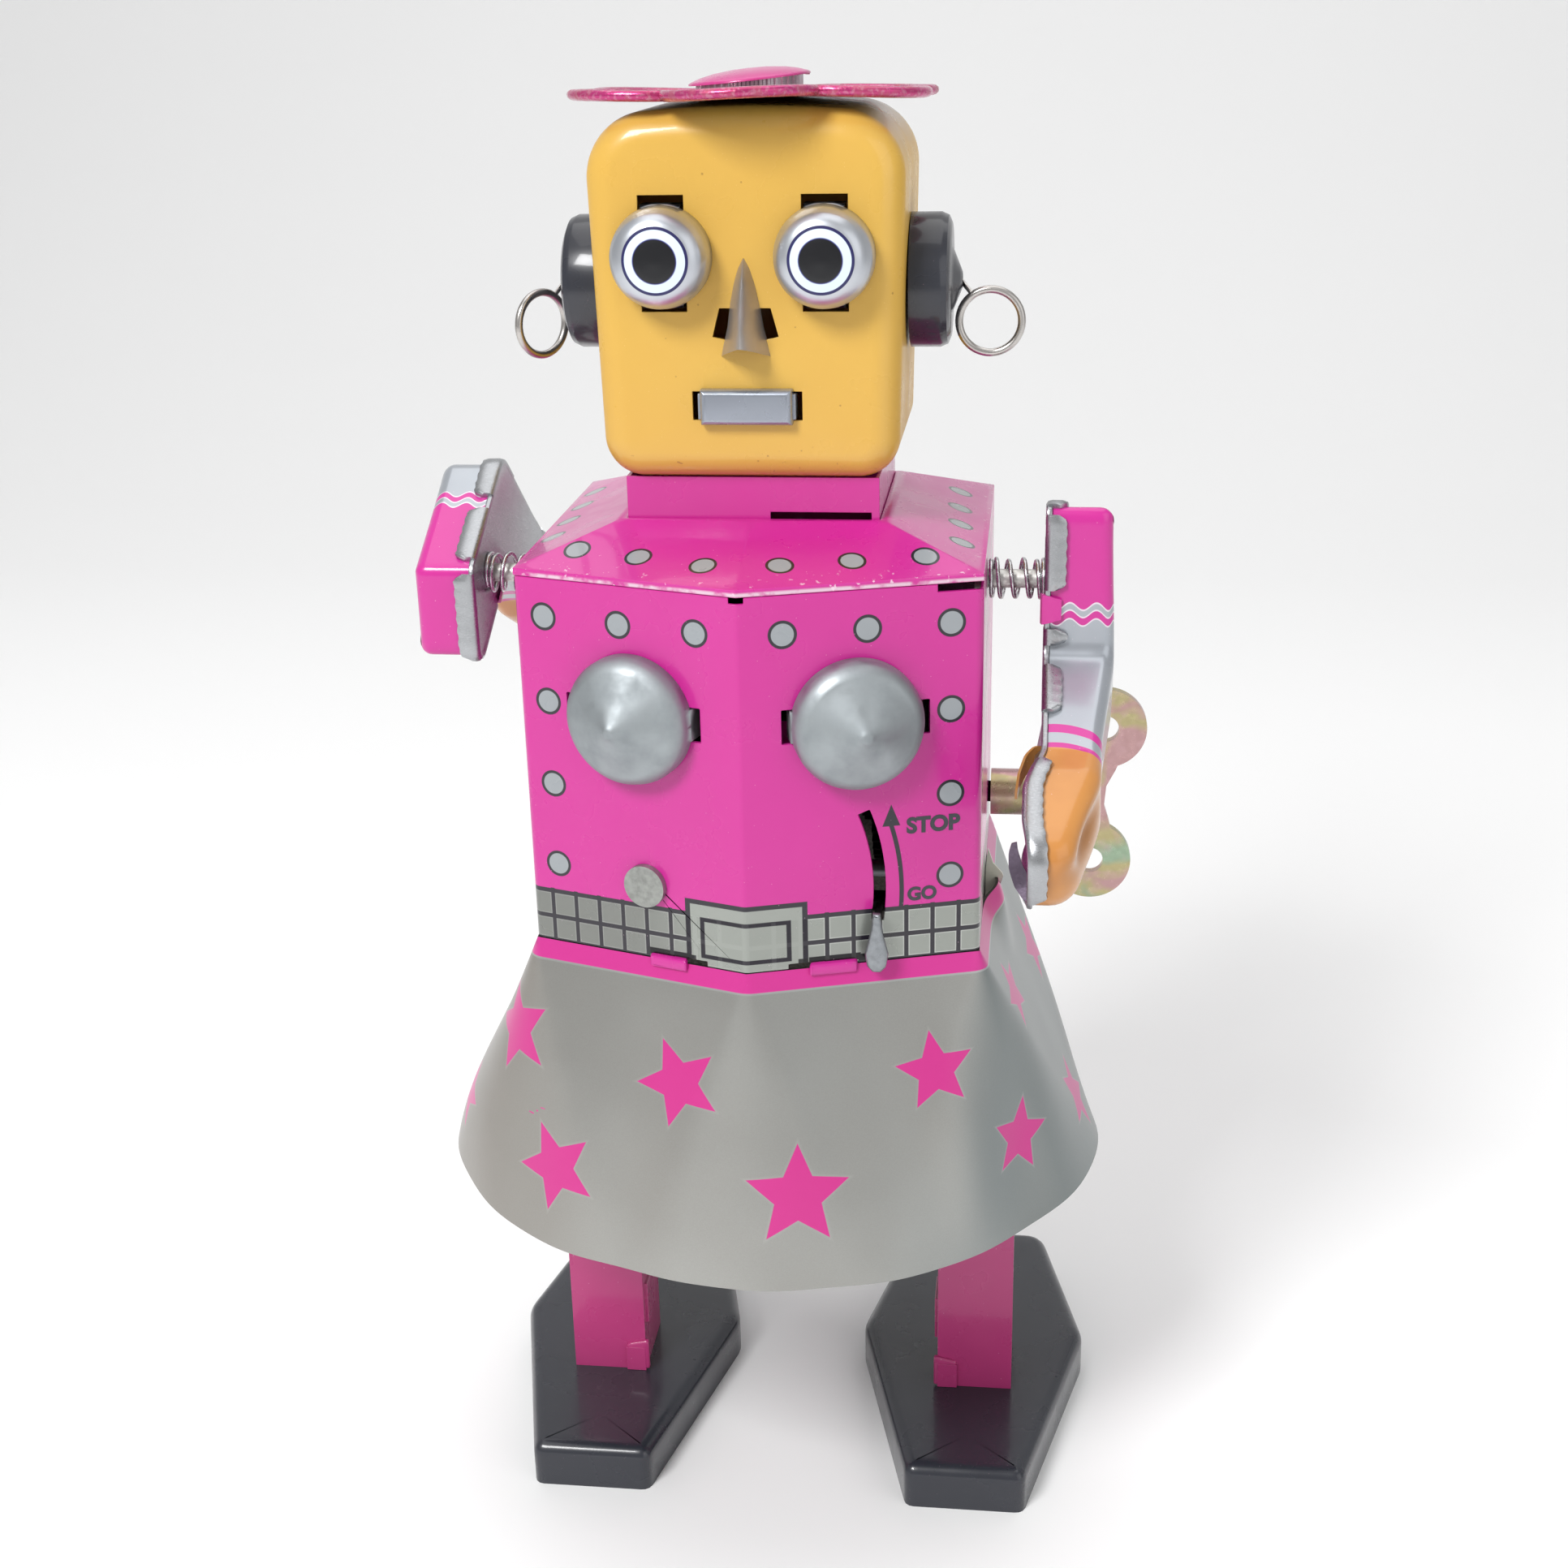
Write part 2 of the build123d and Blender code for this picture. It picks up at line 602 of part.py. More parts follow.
def arm_shell_local():
    """The pressed arm: deep outer shell with rounded edges, open towards the body, axle along X at 0, 0."""
    start = ARM_INNER + TIN
    outer = extrude(arm_face(start), amount=ARM_OUTER - start, dir=(1, 0, 0))
    outer = fillet(outer.faces().sort_by(Axis.X)[-1].edges(), 1.6)
    inner = extrude(arm_face(start - 1, -TIN), amount=ARM_OUTER - TIN - start + 1, dir=(1, 0, 0))
    return outer - inner


def arm_plate_local():
    """The flat closing plate, with lips folded over the shell's edge at the top and at the hand."""
    plate = extrude(arm_face(ARM_INNER), amount=TIN, dir=(1, 0, 0))
    lip = extrude(arm_face(ARM_INNER, TIN + 0.04), amount=2.8, dir=(1, 0, 0))
    lip -= extrude(arm_face(ARM_INNER - 1, 0.04), amount=5, dir=(1, 0, 0))
    zones = block(30, 50, -9, -4, -3.5, 12) + block(30, 50, -9, 8, 7.6, 13)
    zones += block(30, 50, -45, -28, -40, -17)
    plate += lip & zones
    plate += extrude(arm_face(ARM_INNER, TIN + 0.04), amount=TIN, dir=(1, 0, 0)) & zones
    return plate - rod(0, 0, AXLE_RADIUS, ARM_INNER - 1, ARM_INNER + 1)


def arm_axle_local():
    """The axle, headed inside the torso and riveted over in the arm plate."""
    axle = rod(0, 0, AXLE_RADIUS, 27.4, ARM_INNER + TIN)
    axle += rod(0, 0, 2.2, 27.4, 28.3)
    return axle + rod(0, 0, 2.0, ARM_INNER + TIN, ARM_INNER + TIN + 0.6)


def place_arm(side, shape):
    """Puts an arm piece on its shoulder; the right arm is turned back."""
    if side < 0:
        shape = mirror(shape, about=Plane.YZ)
        shape = Rot(RIGHT_ARM_TURN, 0, 0) * shape
    return Pos(0, ARM_Y, ARM_Z) * shape


def arm_spring(side):
    """A coil spring round the axle, between the torso and the arm."""
    start = TORSO_HALF + WIRE + GAP
    length = ARM_INNER - GAP - WIRE - start
    turns = 5.5
    path = Helix(pitch=length / turns, height=length, radius=SPRING_MEAN)
    section = Plane(origin=path @ 0, z_dir=path % 0) * Circle(WIRE)
    coil = sweep(section, path=path, is_frenet=True)
    return Plane(origin=(side * start, ARM_Y, ARM_Z), x_dir=(0, 1, 0), z_dir=(side, 0, 0)) * coil


# ---- legs -----------------------------------------------------------------------------------------------


def leg_shell(side):
    """The folded channel of one leg, with overlapping flaps on its inner side and a foot tab."""
    inner, outer = LEG_X - LEG_HALF, LEG_X + LEG_HALF
    leg = block(inner, outer, LEG_FRONT, LEG_BACK, FOOT_TOP, LEG_TOP)
    leg -= block(inner + TIN, outer - TIN, LEG_FRONT + TIN, LEG_BACK + 1, FOOT_TOP - 1, LEG_TOP + 1)
    leg -= block(inner - 1, inner + 1, LEG_FRONT + 4, LEG_BACK + 1, FOOT_TOP + 16, FOOT_TOP + 21)
    leg += block(inner - TIN, inner, LEG_FRONT + 1.0, LEG_FRONT + 7, FOOT_TOP + 8, FOOT_TOP + 15)
    leg += block(inner, inner + 3, LEG_FRONT - TIN, LEG_FRONT, FOOT_TOP, FOOT_TOP + 4.2)
    return leg if side > 0 else mirror(leg, about=Plane.YZ)


def leg_hanger(side):
    """The steel strip inside the leg, with the hip hole and the window for the crank pin."""
    y, z = HIP_Y, HIP_Z
    outline = [(y - 3.0, 40), (y + 3.0, 40), (y + 3.0, 106), (y + 7.2, 107), (y + 7.2, 120)]
    outline += [(y - 7.2, 120), (y - 7.2, 107), (y - 3.0, 106)]
    strip = slab_x(outline, HANGER_X, HANGER_X + HANGER_THICK)
    strip -= rod(y, z, 1.5 + FIT, HANGER_X - 1, HANGER_X + 2)
    cy, cz = CRANK
    strip -= block(HANGER_X - 1, HANGER_X + 2, cy - 5.4, cy + 5.4, cz - 3.7, cz + 3.7)
    return strip if side > 0 else mirror(strip, about=Plane.YZ)


def foot_outline(inset):
    toe, wide, heel = 7.3 - inset, 17.8 - inset, 11.0 - inset
    y0, y1, y2 = FOOT_TOE + inset, FOOT_WIDE_Y, FOOT_HEEL - inset
    return [(-toe, y0), (toe, y0), (wide, y1), (heel, y2), (-heel, y2), (-wide, y1)]


def foot_block(inset, z0, z1):
    """The coffin-shaped foot as a prism with rounded corners."""
    body = slab_z(foot_outline(inset), z0, z1)
    upright = body.edges().filter_by(Axis.Z)
    body = fillet(upright.filter_by(lambda e: abs(e.center().X) > 15), 6.0 - inset)
    upright = body.edges().filter_by(Axis.Z)
    return fillet(upright.filter_by(lambda e: abs(e.center().X) < 12), 1.6 - inset)


def foot_shell(side):
    """The pressed black foot, open below."""
    body = foot_block(0, 0, FOOT_TOP)
    body = fillet(body.faces().sort_by(Axis.Z)[-1].edges(), 1.4)
    body -= foot_block(TIN + 0.1, -1, FOOT_TOP - TIN)
    return Pos(side * FOOT_X, 0, 0) * body


def foot_sole(side):
    """The sole plate let into the foot, with two ears for the roller's pin."""
    sole = foot_block(TIN + 0.1 + GAP, 0, 0.8)
    sole -= block(-2.6, 2.6, ROLLER_Y - 3.6, ROLLER_Y + 3.6, -1, 1)
    for hand in (-1, 1):
        ear = block(hand * 2.8, hand * 3.4, ROLLER_Y - 1.6, ROLLER_Y + 1.6, 0.8, ROLLER_Z + 1.6)
        sole += ear
    sole -= rod(ROLLER_Y, ROLLER_Z, 0.6 + FIT, -4, 4)
    return Pos(side * FOOT_X, 0, 0) * sole


def roller(side):
    """The one-way roller with its pin and ratchet teeth."""
    wheel = slab_x(ratchet_points(12, 1.9, ROLLER_RADIUS, ROLLER_Y, ROLLER_Z), -0.9, 0.9)
    wheel += rod(ROLLER_Y, ROLLER_Z, ROLLER_RADIUS, 0.9, 1.9)
    wheel += rod(ROLLER_Y, ROLLER_Z, ROLLER_RADIUS, -1.9, -0.9)
    wheel += rod(ROLLER_Y, ROLLER_Z, 0.6, -3.9, 3.9)
    return Pos(side * FOOT_X, 0, 0) * wheel


# ---- clockwork ------------------------------------------------------------------------------------------


def ratchet_points(count, root, tip, y, z):
    """The outline of a wheel with saw teeth."""
    points = []
    for index in range(count):
        start = 2 * math.pi * index / count
        points.append((y + root * math.cos(start), z + root * math.sin(start)))
        points.append((y + tip * math.cos(start + 0.06), z + tip * math.sin(start + 0.06)))
    return points


def gear(teeth, centre, x0, x1, bore, phase):
    """A spur wheel along X; one tooth is centred at the phase, in degrees from +Y towards +Z."""
    pitch = MODULE * teeth / 2
    tip, root = pitch + 0.8 * MODULE, pitch - 1.05 * MODULE
    step = 2 * math.pi / teeth
    y, z = centre
    points = []
    for index in range(teeth):
        middle = math.radians(phase) + index * step
        for radius, share in ((root, -0.2), (tip, -0.1), (tip, 0.1), (root, 0.2)):
            angle = middle + share * step
            points.append((y + radius * math.cos(angle), z + radius * math.sin(angle)))
    wheel = slab_x(points, x0, x1)
    if bore > 0:
        wheel -= rod(y, z, bore, x0 - 1, x1 + 1)
    return wheel


def bearing(start, end):
    """The direction from one arbor to another, in degrees."""
    return math.degrees(math.atan2(end[1] - start[1], end[0] - start[0]))


def half_pitch(teeth):
    return 180.0 / teeth


def lightened(wheel, centre, x0, x1, radius, hole):
    """Cuts five lightening holes in a wheel."""
    for index in range(5):
        angle = 2 * math.pi * index / 5 + 0.3
        y = centre[0] + radius * math.cos(angle)
        z = centre[1] + radius * math.sin(angle)
        wheel -= rod(y, z, hole, x0 - 1, x1 + 1)
    return wheel


def motor_plate(side):
    """One side plate of the motor, with a hole for each arbor and two ears that meet the torso's wall."""
    x0, x1 = PLATE_X, PLATE_X + PLATE_THICK
    outline = [(16, 86), (19, 82), (43, 82), (46, 86), (46, 132), (43, 136), (19, 136), (16, 132)]
    plate = slab_x(outline, x0, x1)
    holes = [(WIND, 1.5), (SECOND, 0.8), (CRANK, 1.2), (ESCAPE, 0.8), (VERGE, 0.8)]
    for (y, z), radius in holes:
        plate -= rod(y, z, radius + FIT, x0 - 1, x1 + 1)
    plate -= rod(HIP_Y, HIP_Z, 1.5, x0 - 1, x1 + 1)
    for z0, z1 in ((97, 105), (124, 131)):
        plate += block(x0, TORSO_HALF - TIN - GAP, 45.2, 46.0 - GAP, z0, z1) - block(27.5, 29, 43, 48, z0, z1)
    return plate if side > 0 else mirror(plate, about=Plane.YZ)


def motor_pillars():
    """Four spacer pillars between the plates."""
    inner = PLATE_X - 0.01
    pillars = [rod(y, z, 1.3, -inner, inner) for y in (19.5, 43.0) for z in (85.5, 132.5)]
    return Compound(children=pillars)


def mainspring():
    """A flat spiral strip of half circles, wound round the winding arbor."""
    thick, pitch, start, halves = 0.35, 1.35, 2.0, 10
    y, z = WIND
    x0, x1 = -16.0, -2.0

    def curve(extra):
        points = []
        for index in range(halves):
            radius = start + extra + index * pitch / 2
            shift = 0 if index % 2 == 0 else pitch / 2
            sign = 1 if index % 2 == 0 else -1
            first = (x0, y + shift + sign * radius, z)
            middle = (x0, y + shift, z + sign * radius)
            last = (x0, y + shift - sign * radius, z)
            points.append((first, middle, last))
        return points

    inner, outer = curve(0), curve(thick)
    edges = [ThreePointArc(*arc) for arc in inner]
    edges += [ThreePointArc(*arc) for arc in outer]
    edges.append(Line(inner[0][0], outer[0][0]))
    edges.append(Line(inner[-1][2], outer[-1][2]))
    return extrude(make_face(edges), amount=x1 - x0, dir=(1, 0, 0))


def hip_shaft():
    """The fixed shaft that both legs swing on, with a cap at each end."""
    shaft = rod(HIP_Y, HIP_Z, 1.5, -25.2, 25.2)
    for side in (-1, 1):
        shaft += rod(HIP_Y, HIP_Z, 2.5, side * 24.5, side * 25.2)
        shaft += rod(HIP_Y, HIP_Z, 2.2, side * 20.9, side * 23.1)
    return shaft


def winding_key():
    """A rolled stem and a flat butterfly blade with two ringed wings, set a little askew."""
    y, z = WIND
    stem = rod(y, z, 3.3, KEY_START, KEY_STEM_END) - rod(y, z, 1.5, KEY_START - 1, KEY_STEM_END)
    half = [(34.0, 2.6), (38.0, 2.4), (39.6, 4.4), (40.2, 7.5), (40.6, 10.0), (48.4, 10.0), (46.6, 4.0), (45.6, 1.5)]
    web = half + [(x, -dz) for x, dz in reversed(half)]
    blade = slab_y(web, -0.7, 0.7)
    for sign in (-1, 1):
        centre = Pos(KEY_RING_X, 0, sign * KEY_RING_Z) * Rot(90, 0, 0)
        blade += centre * Cylinder(KEY_RING_RADIUS, 1.4)
        blade -= centre * Cylinder(1.9, 3)
    blade = Pos(KEY_RING_X, 0, 0) * Rot(0, KEY_SKEW, 0) * Pos(-KEY_RING_X, 0, 0) * blade
    blade = Pos(0, y, z) * blade - rod(y, z, 1.5, KEY_START, KEY_STEM_END)
    return stem + blade


def winding_arbor():
    return rod(WIND[0], WIND[1], 1.5, -21.4, KEY_STEM_END - 0.5)


def ratchet_wheel():
    points = ratchet_points(14, 3.7, 4.7, WIND[0], WIND[1])
    return slab_x(points, 11.4, 12.4) - rod(WIND[0], WIND[1], 1.5, 11, 13)


def great_wheel():
    wheel = gear(GREAT_TEETH, WIND, 13.0, 14.2, 1.5 + FIT, bearing(WIND, SECOND))
    return lightened(wheel, WIND, 13.0, 14.2, 6.6, 1.2)


def click_pawl():
    """The click on the great wheel, drawn back clear of the saw teeth."""
    y, z = WIND
    body = [(y - 7.4, z - 1.4), (y - 5.2, z - 1.2), (y - 5.0, z + 3.6), (y - 7.2, z + 4.4)]
    return slab_x(body, 11.5, 13.0)


def second_wheel():
    wheel = gear(SECOND_TEETH, SECOND, 7.4, 8.4, 0.8, bearing(SECOND, CRANK))
    return lightened(wheel, SECOND, 7.4, 8.4, 3.8, 1.0)


def second_pinion():
    phase = bearing(SECOND, WIND) + half_pitch(SECOND_PINION_TEETH)
    pinion = gear(SECOND_PINION_TEETH, SECOND, 12.4, 14.8, 0, phase)
    return pinion + rod(SECOND[0], SECOND[1], 0.8, -20.7, 20.7)


def crank_shaft():
    """The crank's arbor with its pinion."""
    phase = bearing(CRANK, SECOND) + half_pitch(CRANK_PINION_TEETH)
    pinion = gear(CRANK_PINION_TEETH, CRANK, 6.9, 8.9, 0, phase)
    return pinion + rod(CRANK[0], CRANK[1], 1.2, -22.4, 22.4)


def crank_wheel():
    return gear(CRANK_TEETH, CRANK, 3.4, 4.4, 1.2, bearing(CRANK, ESCAPE))


def crank_disc(side):
    """The disc at one end of the crank's arbor, with its pin; the two pins are half a turn apart."""
    y, z = CRANK
    disc = rod(y, z, 4.2, side * 21.2, side * 22.4) - rod(y, z, 1.2, side * 20, side * 24)
    return disc + rod(y + side * CRANK_THROW, z, 1.0, side * 22.35, side * 24.9) - rod(y, z, 1.2, side * 20, side * 22.4)


def escape_wheel():
    points = ratchet_points(15, 4.2, 5.4, ESCAPE[0], ESCAPE[1])
    return slab_x(points, -6.5, -5.7) - rod(ESCAPE[0], ESCAPE[1], 0.8, -8, -4)


def escape_pinion():
    phase = bearing(ESCAPE, CRANK) + half_pitch(ESCAPE_PINION_TEETH)
    pinion = gear(ESCAPE_PINION_TEETH, ESCAPE, 3.0, 4.8, 0, phase)
    return pinion + rod(ESCAPE[0], ESCAPE[1], 0.8, -20.7, 20.7)


def verge():
    """The rocking two-armed pallet over the escape wheel, on its own arbor."""
    y, z = VERGE
    bridge = [(y - 6.0, z + 0.9), (y + 6.0, z + 0.9), (y + 6.6, z - 4.4), (y + 5.8, z - 4.6), (y + 4.8, z - 0.9)]
    bridge += [(y - 4.8, z - 0.9), (y - 5.8, z - 4.6), (y - 6.6, z - 4.4)]
    return slab_x(bridge, -6.6, -5.6) + rod(y, z, 0.8, -20.7, 20.7)


def hands():
    """The two sides of the robot, as (name, sign)."""
    return (("left", 1), ("right", -1))


def main():
    os.makedirs("parts", exist_ok=True)
    export("torso_front_shell", torso_front_shell())
    export("torso_back_panel", torso_back_panel())
    export("shoulder_cap", shoulder_cap())
    export("neck_collar", neck_collar())
    export("head_face_shell", head_face_shell())
    export("head_back_shell", head_back_shell())
    export("nose", nose())
    export("mouth", mouth())
    export("hat_petals", hat_petals())
    export("hat_collar", hat_collar())
    export("hat_button", hat_button())
    export("lever_rivet", lever_rivet())
    export("stop_lever", stop_lever())
    export("skirt", skirt())
    export("motor_pillars", motor_pillars())
    export("mainspring", mainspring())
    export("hip_shaft", hip_shaft())
    export("winding_key", winding_key())
    export("winding_arbor", winding_arbor())
    export("ratchet_wheel", ratchet_wheel())
    export("great_wheel", great_wheel())
    export("click_pawl", click_pawl())
    export("second_wheel", second_wheel())
    export("second_pinion", second_pinion())
    export("crank_shaft", crank_shaft())
    export("crank_wheel", crank_wheel())
    export("escape_wheel", escape_wheel())
    export("escape_pinion", escape_pinion())
    export("verge", verge())
    for name, side in hands():
        export("eye_" + name, eye(side))
        export("ear_cap_" + name, ear_cap(side))
        export("earring_" + name, earring(side))
        export("chest_cap_" + name, chest_cap(side))
        export("motor_plate_" + name, motor_plate(side))
        export("crank_disc_" + name, crank_disc(side))
        export("arm_shell_" + name, place_arm(side, arm_shell_local()))
        export("arm_plate_" + name, place_arm(side, arm_plate_local()))
        export("arm_axle_" + name, place_arm(side, arm_axle_local()))
        export("arm_spring_" + name, arm_spring(side))
        export("leg_shell_" + name, leg_shell(side))
        export("leg_hanger_" + name, leg_hanger(side))
        export("foot_shell_" + name, foot_shell(side))
        export("foot_sole_" + name, foot_sole(side))
        export("roller_" + name, roller(side))


main()
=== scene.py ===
import math

import bmesh
import bpy
from mathutils import Matrix, Vector


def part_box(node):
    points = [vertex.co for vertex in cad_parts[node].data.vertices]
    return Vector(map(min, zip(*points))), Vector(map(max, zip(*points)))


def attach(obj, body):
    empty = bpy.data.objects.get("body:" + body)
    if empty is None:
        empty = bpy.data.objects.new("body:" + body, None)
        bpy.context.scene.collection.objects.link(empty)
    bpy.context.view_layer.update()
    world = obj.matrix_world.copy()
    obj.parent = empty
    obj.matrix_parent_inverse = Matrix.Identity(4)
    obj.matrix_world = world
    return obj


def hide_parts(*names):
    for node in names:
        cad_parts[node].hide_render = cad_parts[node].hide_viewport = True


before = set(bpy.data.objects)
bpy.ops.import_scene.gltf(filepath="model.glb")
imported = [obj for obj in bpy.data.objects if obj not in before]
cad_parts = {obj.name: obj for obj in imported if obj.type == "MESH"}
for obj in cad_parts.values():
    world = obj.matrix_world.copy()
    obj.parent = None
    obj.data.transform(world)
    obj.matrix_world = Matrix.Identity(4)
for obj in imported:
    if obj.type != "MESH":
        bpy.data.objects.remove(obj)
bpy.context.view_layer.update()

MM = 0.001
MERGE = 2e-6  # points closer than this, in metres, are one point
SIDES = (("left", 1), ("right", -1))
SHEET = 0.4  # the thickness of the tin, in mm

# The torso's plan, in mm: half its width, its depth, and how far its prow stands out in front.
TORSO_HALF = 29.0
TORSO_DEPTH = 48.0
PROW = 9.0

# The layout frame: x is 0 on the torso's middle, y is 0 at its front corners, z is 0 on the floor, in mm.
shell_low, shell_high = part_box("torso_front_shell")
SHIFT_X = -(shell_low.x + shell_high.x) / 2
SHIFT_Y = TORSO_DEPTH * MM - shell_high.y


def at(x, y, z):
    """A point of the layout, in mm, as a point of the row frame, in metres."""
    return Vector((x * MM - SHIFT_X, y * MM - SHIFT_Y, z * MM))


def facet_y(x):
    """Where the torso's front is in y, x mm to the side of its prow."""
    return -PROW + x * PROW / TORSO_HALF


def smoothstep(low, high, value):
    """0 at low, 1 at high and eased between."""
    share = min(1.0, max(0.0, (value - low) / (high - low)))
    return share * share * (3 - 2 * share)


# ---- shader arithmetic ----


class Value:
    """A number worked out at each point of a surface, with ordinary arithmetic."""

    def __init__(self, tree, socket):
        self.tree = tree
        self.socket = socket

    def math(self, operation, *others):
        node = self.tree.nodes.new("ShaderNodeMath")
        node.operation = operation
        self.tree.links.new(self.socket, node.inputs[0])
        for index, other in enumerate(others):
            if isinstance(other, Value):
                self.tree.links.new(other.socket, node.inputs[index + 1])
            else:
                node.inputs[index + 1].default_value = other
        return Value(self.tree, node.outputs[0])

    def __add__(self, other):
        return self.math("ADD", other)

    def __sub__(self, other):
        return self.math("SUBTRACT", other)

    def __mul__(self, other):
        return self.math("MULTIPLY", other)

    def __truediv__(self, other):
        return self.math("DIVIDE", other)

    def __abs__(self):
        return self.math("ABSOLUTE")

    def least(self, other):
        return self.math("MINIMUM", other)

    def most(self, other):
        return self.math("MAXIMUM", other)

    def repeat(self, step):
        """How far this is from the nearest multiple of step."""
        return abs(self.math("WRAP", step / 2, -step / 2))

    def over(self, low, high):
        """0 below low and 1 above high."""
        node = self.tree.nodes.new("ShaderNodeMapRange")
        node.inputs["From Min"].default_value = low
        node.inputs["From Max"].default_value = high
        self.tree.links.new(self.socket, node.inputs["Value"])
        return Value(self.tree, node.outputs[0])

    def inside(self, soft=0.03):
        """1 where a signed distance in mm is below 0, with an edge soft mm wide."""
        return self.over(soft, -soft)


def least_of(values):
    """The least of several values, for the union of their shapes."""
    found = values[0]
    for value in values[1:]:
        found = found.least(value)
    return found


def box_distance(x, y, centre_x, centre_y, half_x, half_y):
    """Signed distance to a rectangle."""
    return (abs(x - centre_x) - half_x).most(abs(y - centre_y) - half_y)


def disc_distance(x, y, centre_x, centre_y, radius):
    """Signed distance to a disc."""
    dx = x - centre_x
    dy = y - centre_y
    return (dx * dx + dy * dy).math("SQRT") - radius


def linear(colour):
    """An sRGB colour, 0 to 255, as linear numbers."""
    out = []
    for channel in colour:
        share = channel / 255
        out.append(share / 12.92 if share <= 0.04045 else ((share + 0.055) / 1.055) ** 2.4)
    return (*out, 1.0)


class Paint:
    """A material being built: its tree, its shader and its coordinates in mm."""

    def __init__(self, name, colour, metallic, roughness, coat=0.0, coat_roughness=0.1):
        self.material = bpy.data.materials.new(name)
        self.material.use_nodes = True
        self.tree = self.material.node_tree
        self.shader = self.tree.nodes["Principled BSDF"]
        self.shader.inputs["Base Color"].default_value = linear(colour)
        self.shader.inputs["Metallic"].default_value = metallic
        self.shader.inputs["Roughness"].default_value = roughness
        self.shader.inputs["Coat Weight"].default_value = coat
        self.shader.inputs["Specular IOR Level"].default_value = 0.4
        self.shader.inputs["Coat Roughness"].default_value = coat_roughness
        self.colour = linear(colour)
        self.bump_from = None
        coordinates = self.tree.nodes.new("ShaderNodeTexCoord")
        scale = self.tree.nodes.new("ShaderNodeVectorMath")
        scale.operation = "SCALE"
        scale.inputs["Scale"].default_value = 1 / MM
        self.tree.links.new(coordinates.outputs["Object"], scale.inputs[0])
        self.point = scale.outputs[0]
        self.normal = coordinates.outputs["Normal"]

    def distance(self, place):
        """How far the surface is from a layout point, in mm."""
        node = self.tree.nodes.new("ShaderNodeVectorMath")
        node.operation = "DISTANCE"
        node.inputs[1].default_value = at(*place) / MM
        self.tree.links.new(self.point, node.inputs[0])
        return Value(self.tree, node.outputs["Value"])

    def split(self, vector):
        node = self.tree.nodes.new("ShaderNodeSeparateXYZ")
        self.tree.links.new(vector, node.inputs[0])
        return [Value(self.tree, output) for output in node.outputs]

    def layout(self):
        """x, y and z of the layout, in mm."""
        x, y, z = self.split(self.point)
        return x + SHIFT_X / MM, y + SHIFT_Y / MM, z

    def attribute(self, name):
        node = self.tree.nodes.new("ShaderNodeAttribute")
        node.attribute_name = name
        return node

    def noise(self, scale, detail=2.0, stretch=(1, 1, 1), distortion=0.0):
        """Noise with features about 1 / scale mm across."""
        mapping = self.tree.nodes.new("ShaderNodeMapping")
        mapping.inputs["Scale"].default_value = stretch
        self.tree.links.new(self.point, mapping.inputs["Vector"])
        node = self.tree.nodes.new("ShaderNodeTexNoise")
        node.inputs["Scale"].default_value = scale
        node.inputs["Detail"].default_value = detail
        node.inputs["Distortion"].default_value = distortion
        self.tree.links.new(mapping.outputs[0], node.inputs["Vector"])
        return Value(self.tree, node.outputs["Fac"])

    def cells(self, scale, stretch=(1, 1, 1), turn=0.0):
        """Distance to the nearest of many scattered points, about 1 / scale mm apart."""
        mapping = self.tree.nodes.new("ShaderNodeMapping")
        mapping.inputs["Scale"].default_value = stretch
        mapping.inputs["Rotation"].default_value = (turn, turn, turn)
        self.tree.links.new(self.point, mapping.inputs["Vector"])
        node = self.tree.nodes.new("ShaderNodeTexVoronoi")
        node.inputs["Scale"].default_value = scale
        self.tree.links.new(mapping.outputs[0], node.inputs["Vector"])
        return Value(self.tree, node.outputs["Distance"])

    def mix(self, share, colour):
        """Lays an sRGB colour over what is there already, by share."""
        node = self.tree.nodes.new("ShaderNodeMix")
        node.data_type = "RGBA"
        self.tree.links.new(share.socket, node.inputs[0])
        if isinstance(self.colour, bpy.types.NodeSocket):
            self.tree.links.new(self.colour, node.inputs[6])
        else:
            node.inputs[6].default_value = self.colour
        node.inputs[7].default_value = linear(colour)
        self.colour = node.outputs[2]
        self.tree.links.new(self.colour, self.shader.inputs["Base Color"])
        return self

    def mottle(self, colour):
        """Lets the lacquer's depth vary softly towards another colour."""
        return self.mix(self.noise(0.05, 3.0).over(0.35, 0.75) * 0.3, colour)

    def specks(self, scale, size, soft, share, colour):
        """Small scattered dots."""
        return self.mix((self.cells(scale) * -1 + size).over(0, soft) * share, colour)

    def drive(self, socket, value, low, high):
        """Sets a shader socket from value, low where it is 0 and high where it is 1."""
        node = self.tree.nodes.new("ShaderNodeMapRange")
        node.inputs["To Min"].default_value = low
        node.inputs["To Max"].default_value = high
        self.tree.links.new(value.socket, node.inputs["Value"])
        self.tree.links.new(node.outputs[0], self.shader.inputs[socket])
        return self

    def bump(self, height, depth):
        """Relief of height times depth, in mm."""
        node = self.tree.nodes.new("ShaderNodeBump")
        node.inputs["Distance"].default_value = depth * MM
        self.tree.links.new(height.socket, node.inputs["Height"])
        if self.bump_from is not None:
            self.tree.links.new(self.bump_from, node.inputs["Normal"])
        self.bump_from = node.outputs[0]
        self.tree.links.new(self.bump_from, self.shader.inputs["Normal"])
        return self


# ---- colours ----

PINK = (196, 38, 142)
PINK_SHADE = (182, 30, 128)
YELLOW = (211, 169, 76)
BELT_SILVER = (144, 148, 142)
INK = (30, 26, 36)
RIVET_SILVER = (146, 151, 155)
STAR_PINK = (196, 46, 132)
ORANGE = (202, 138, 70)


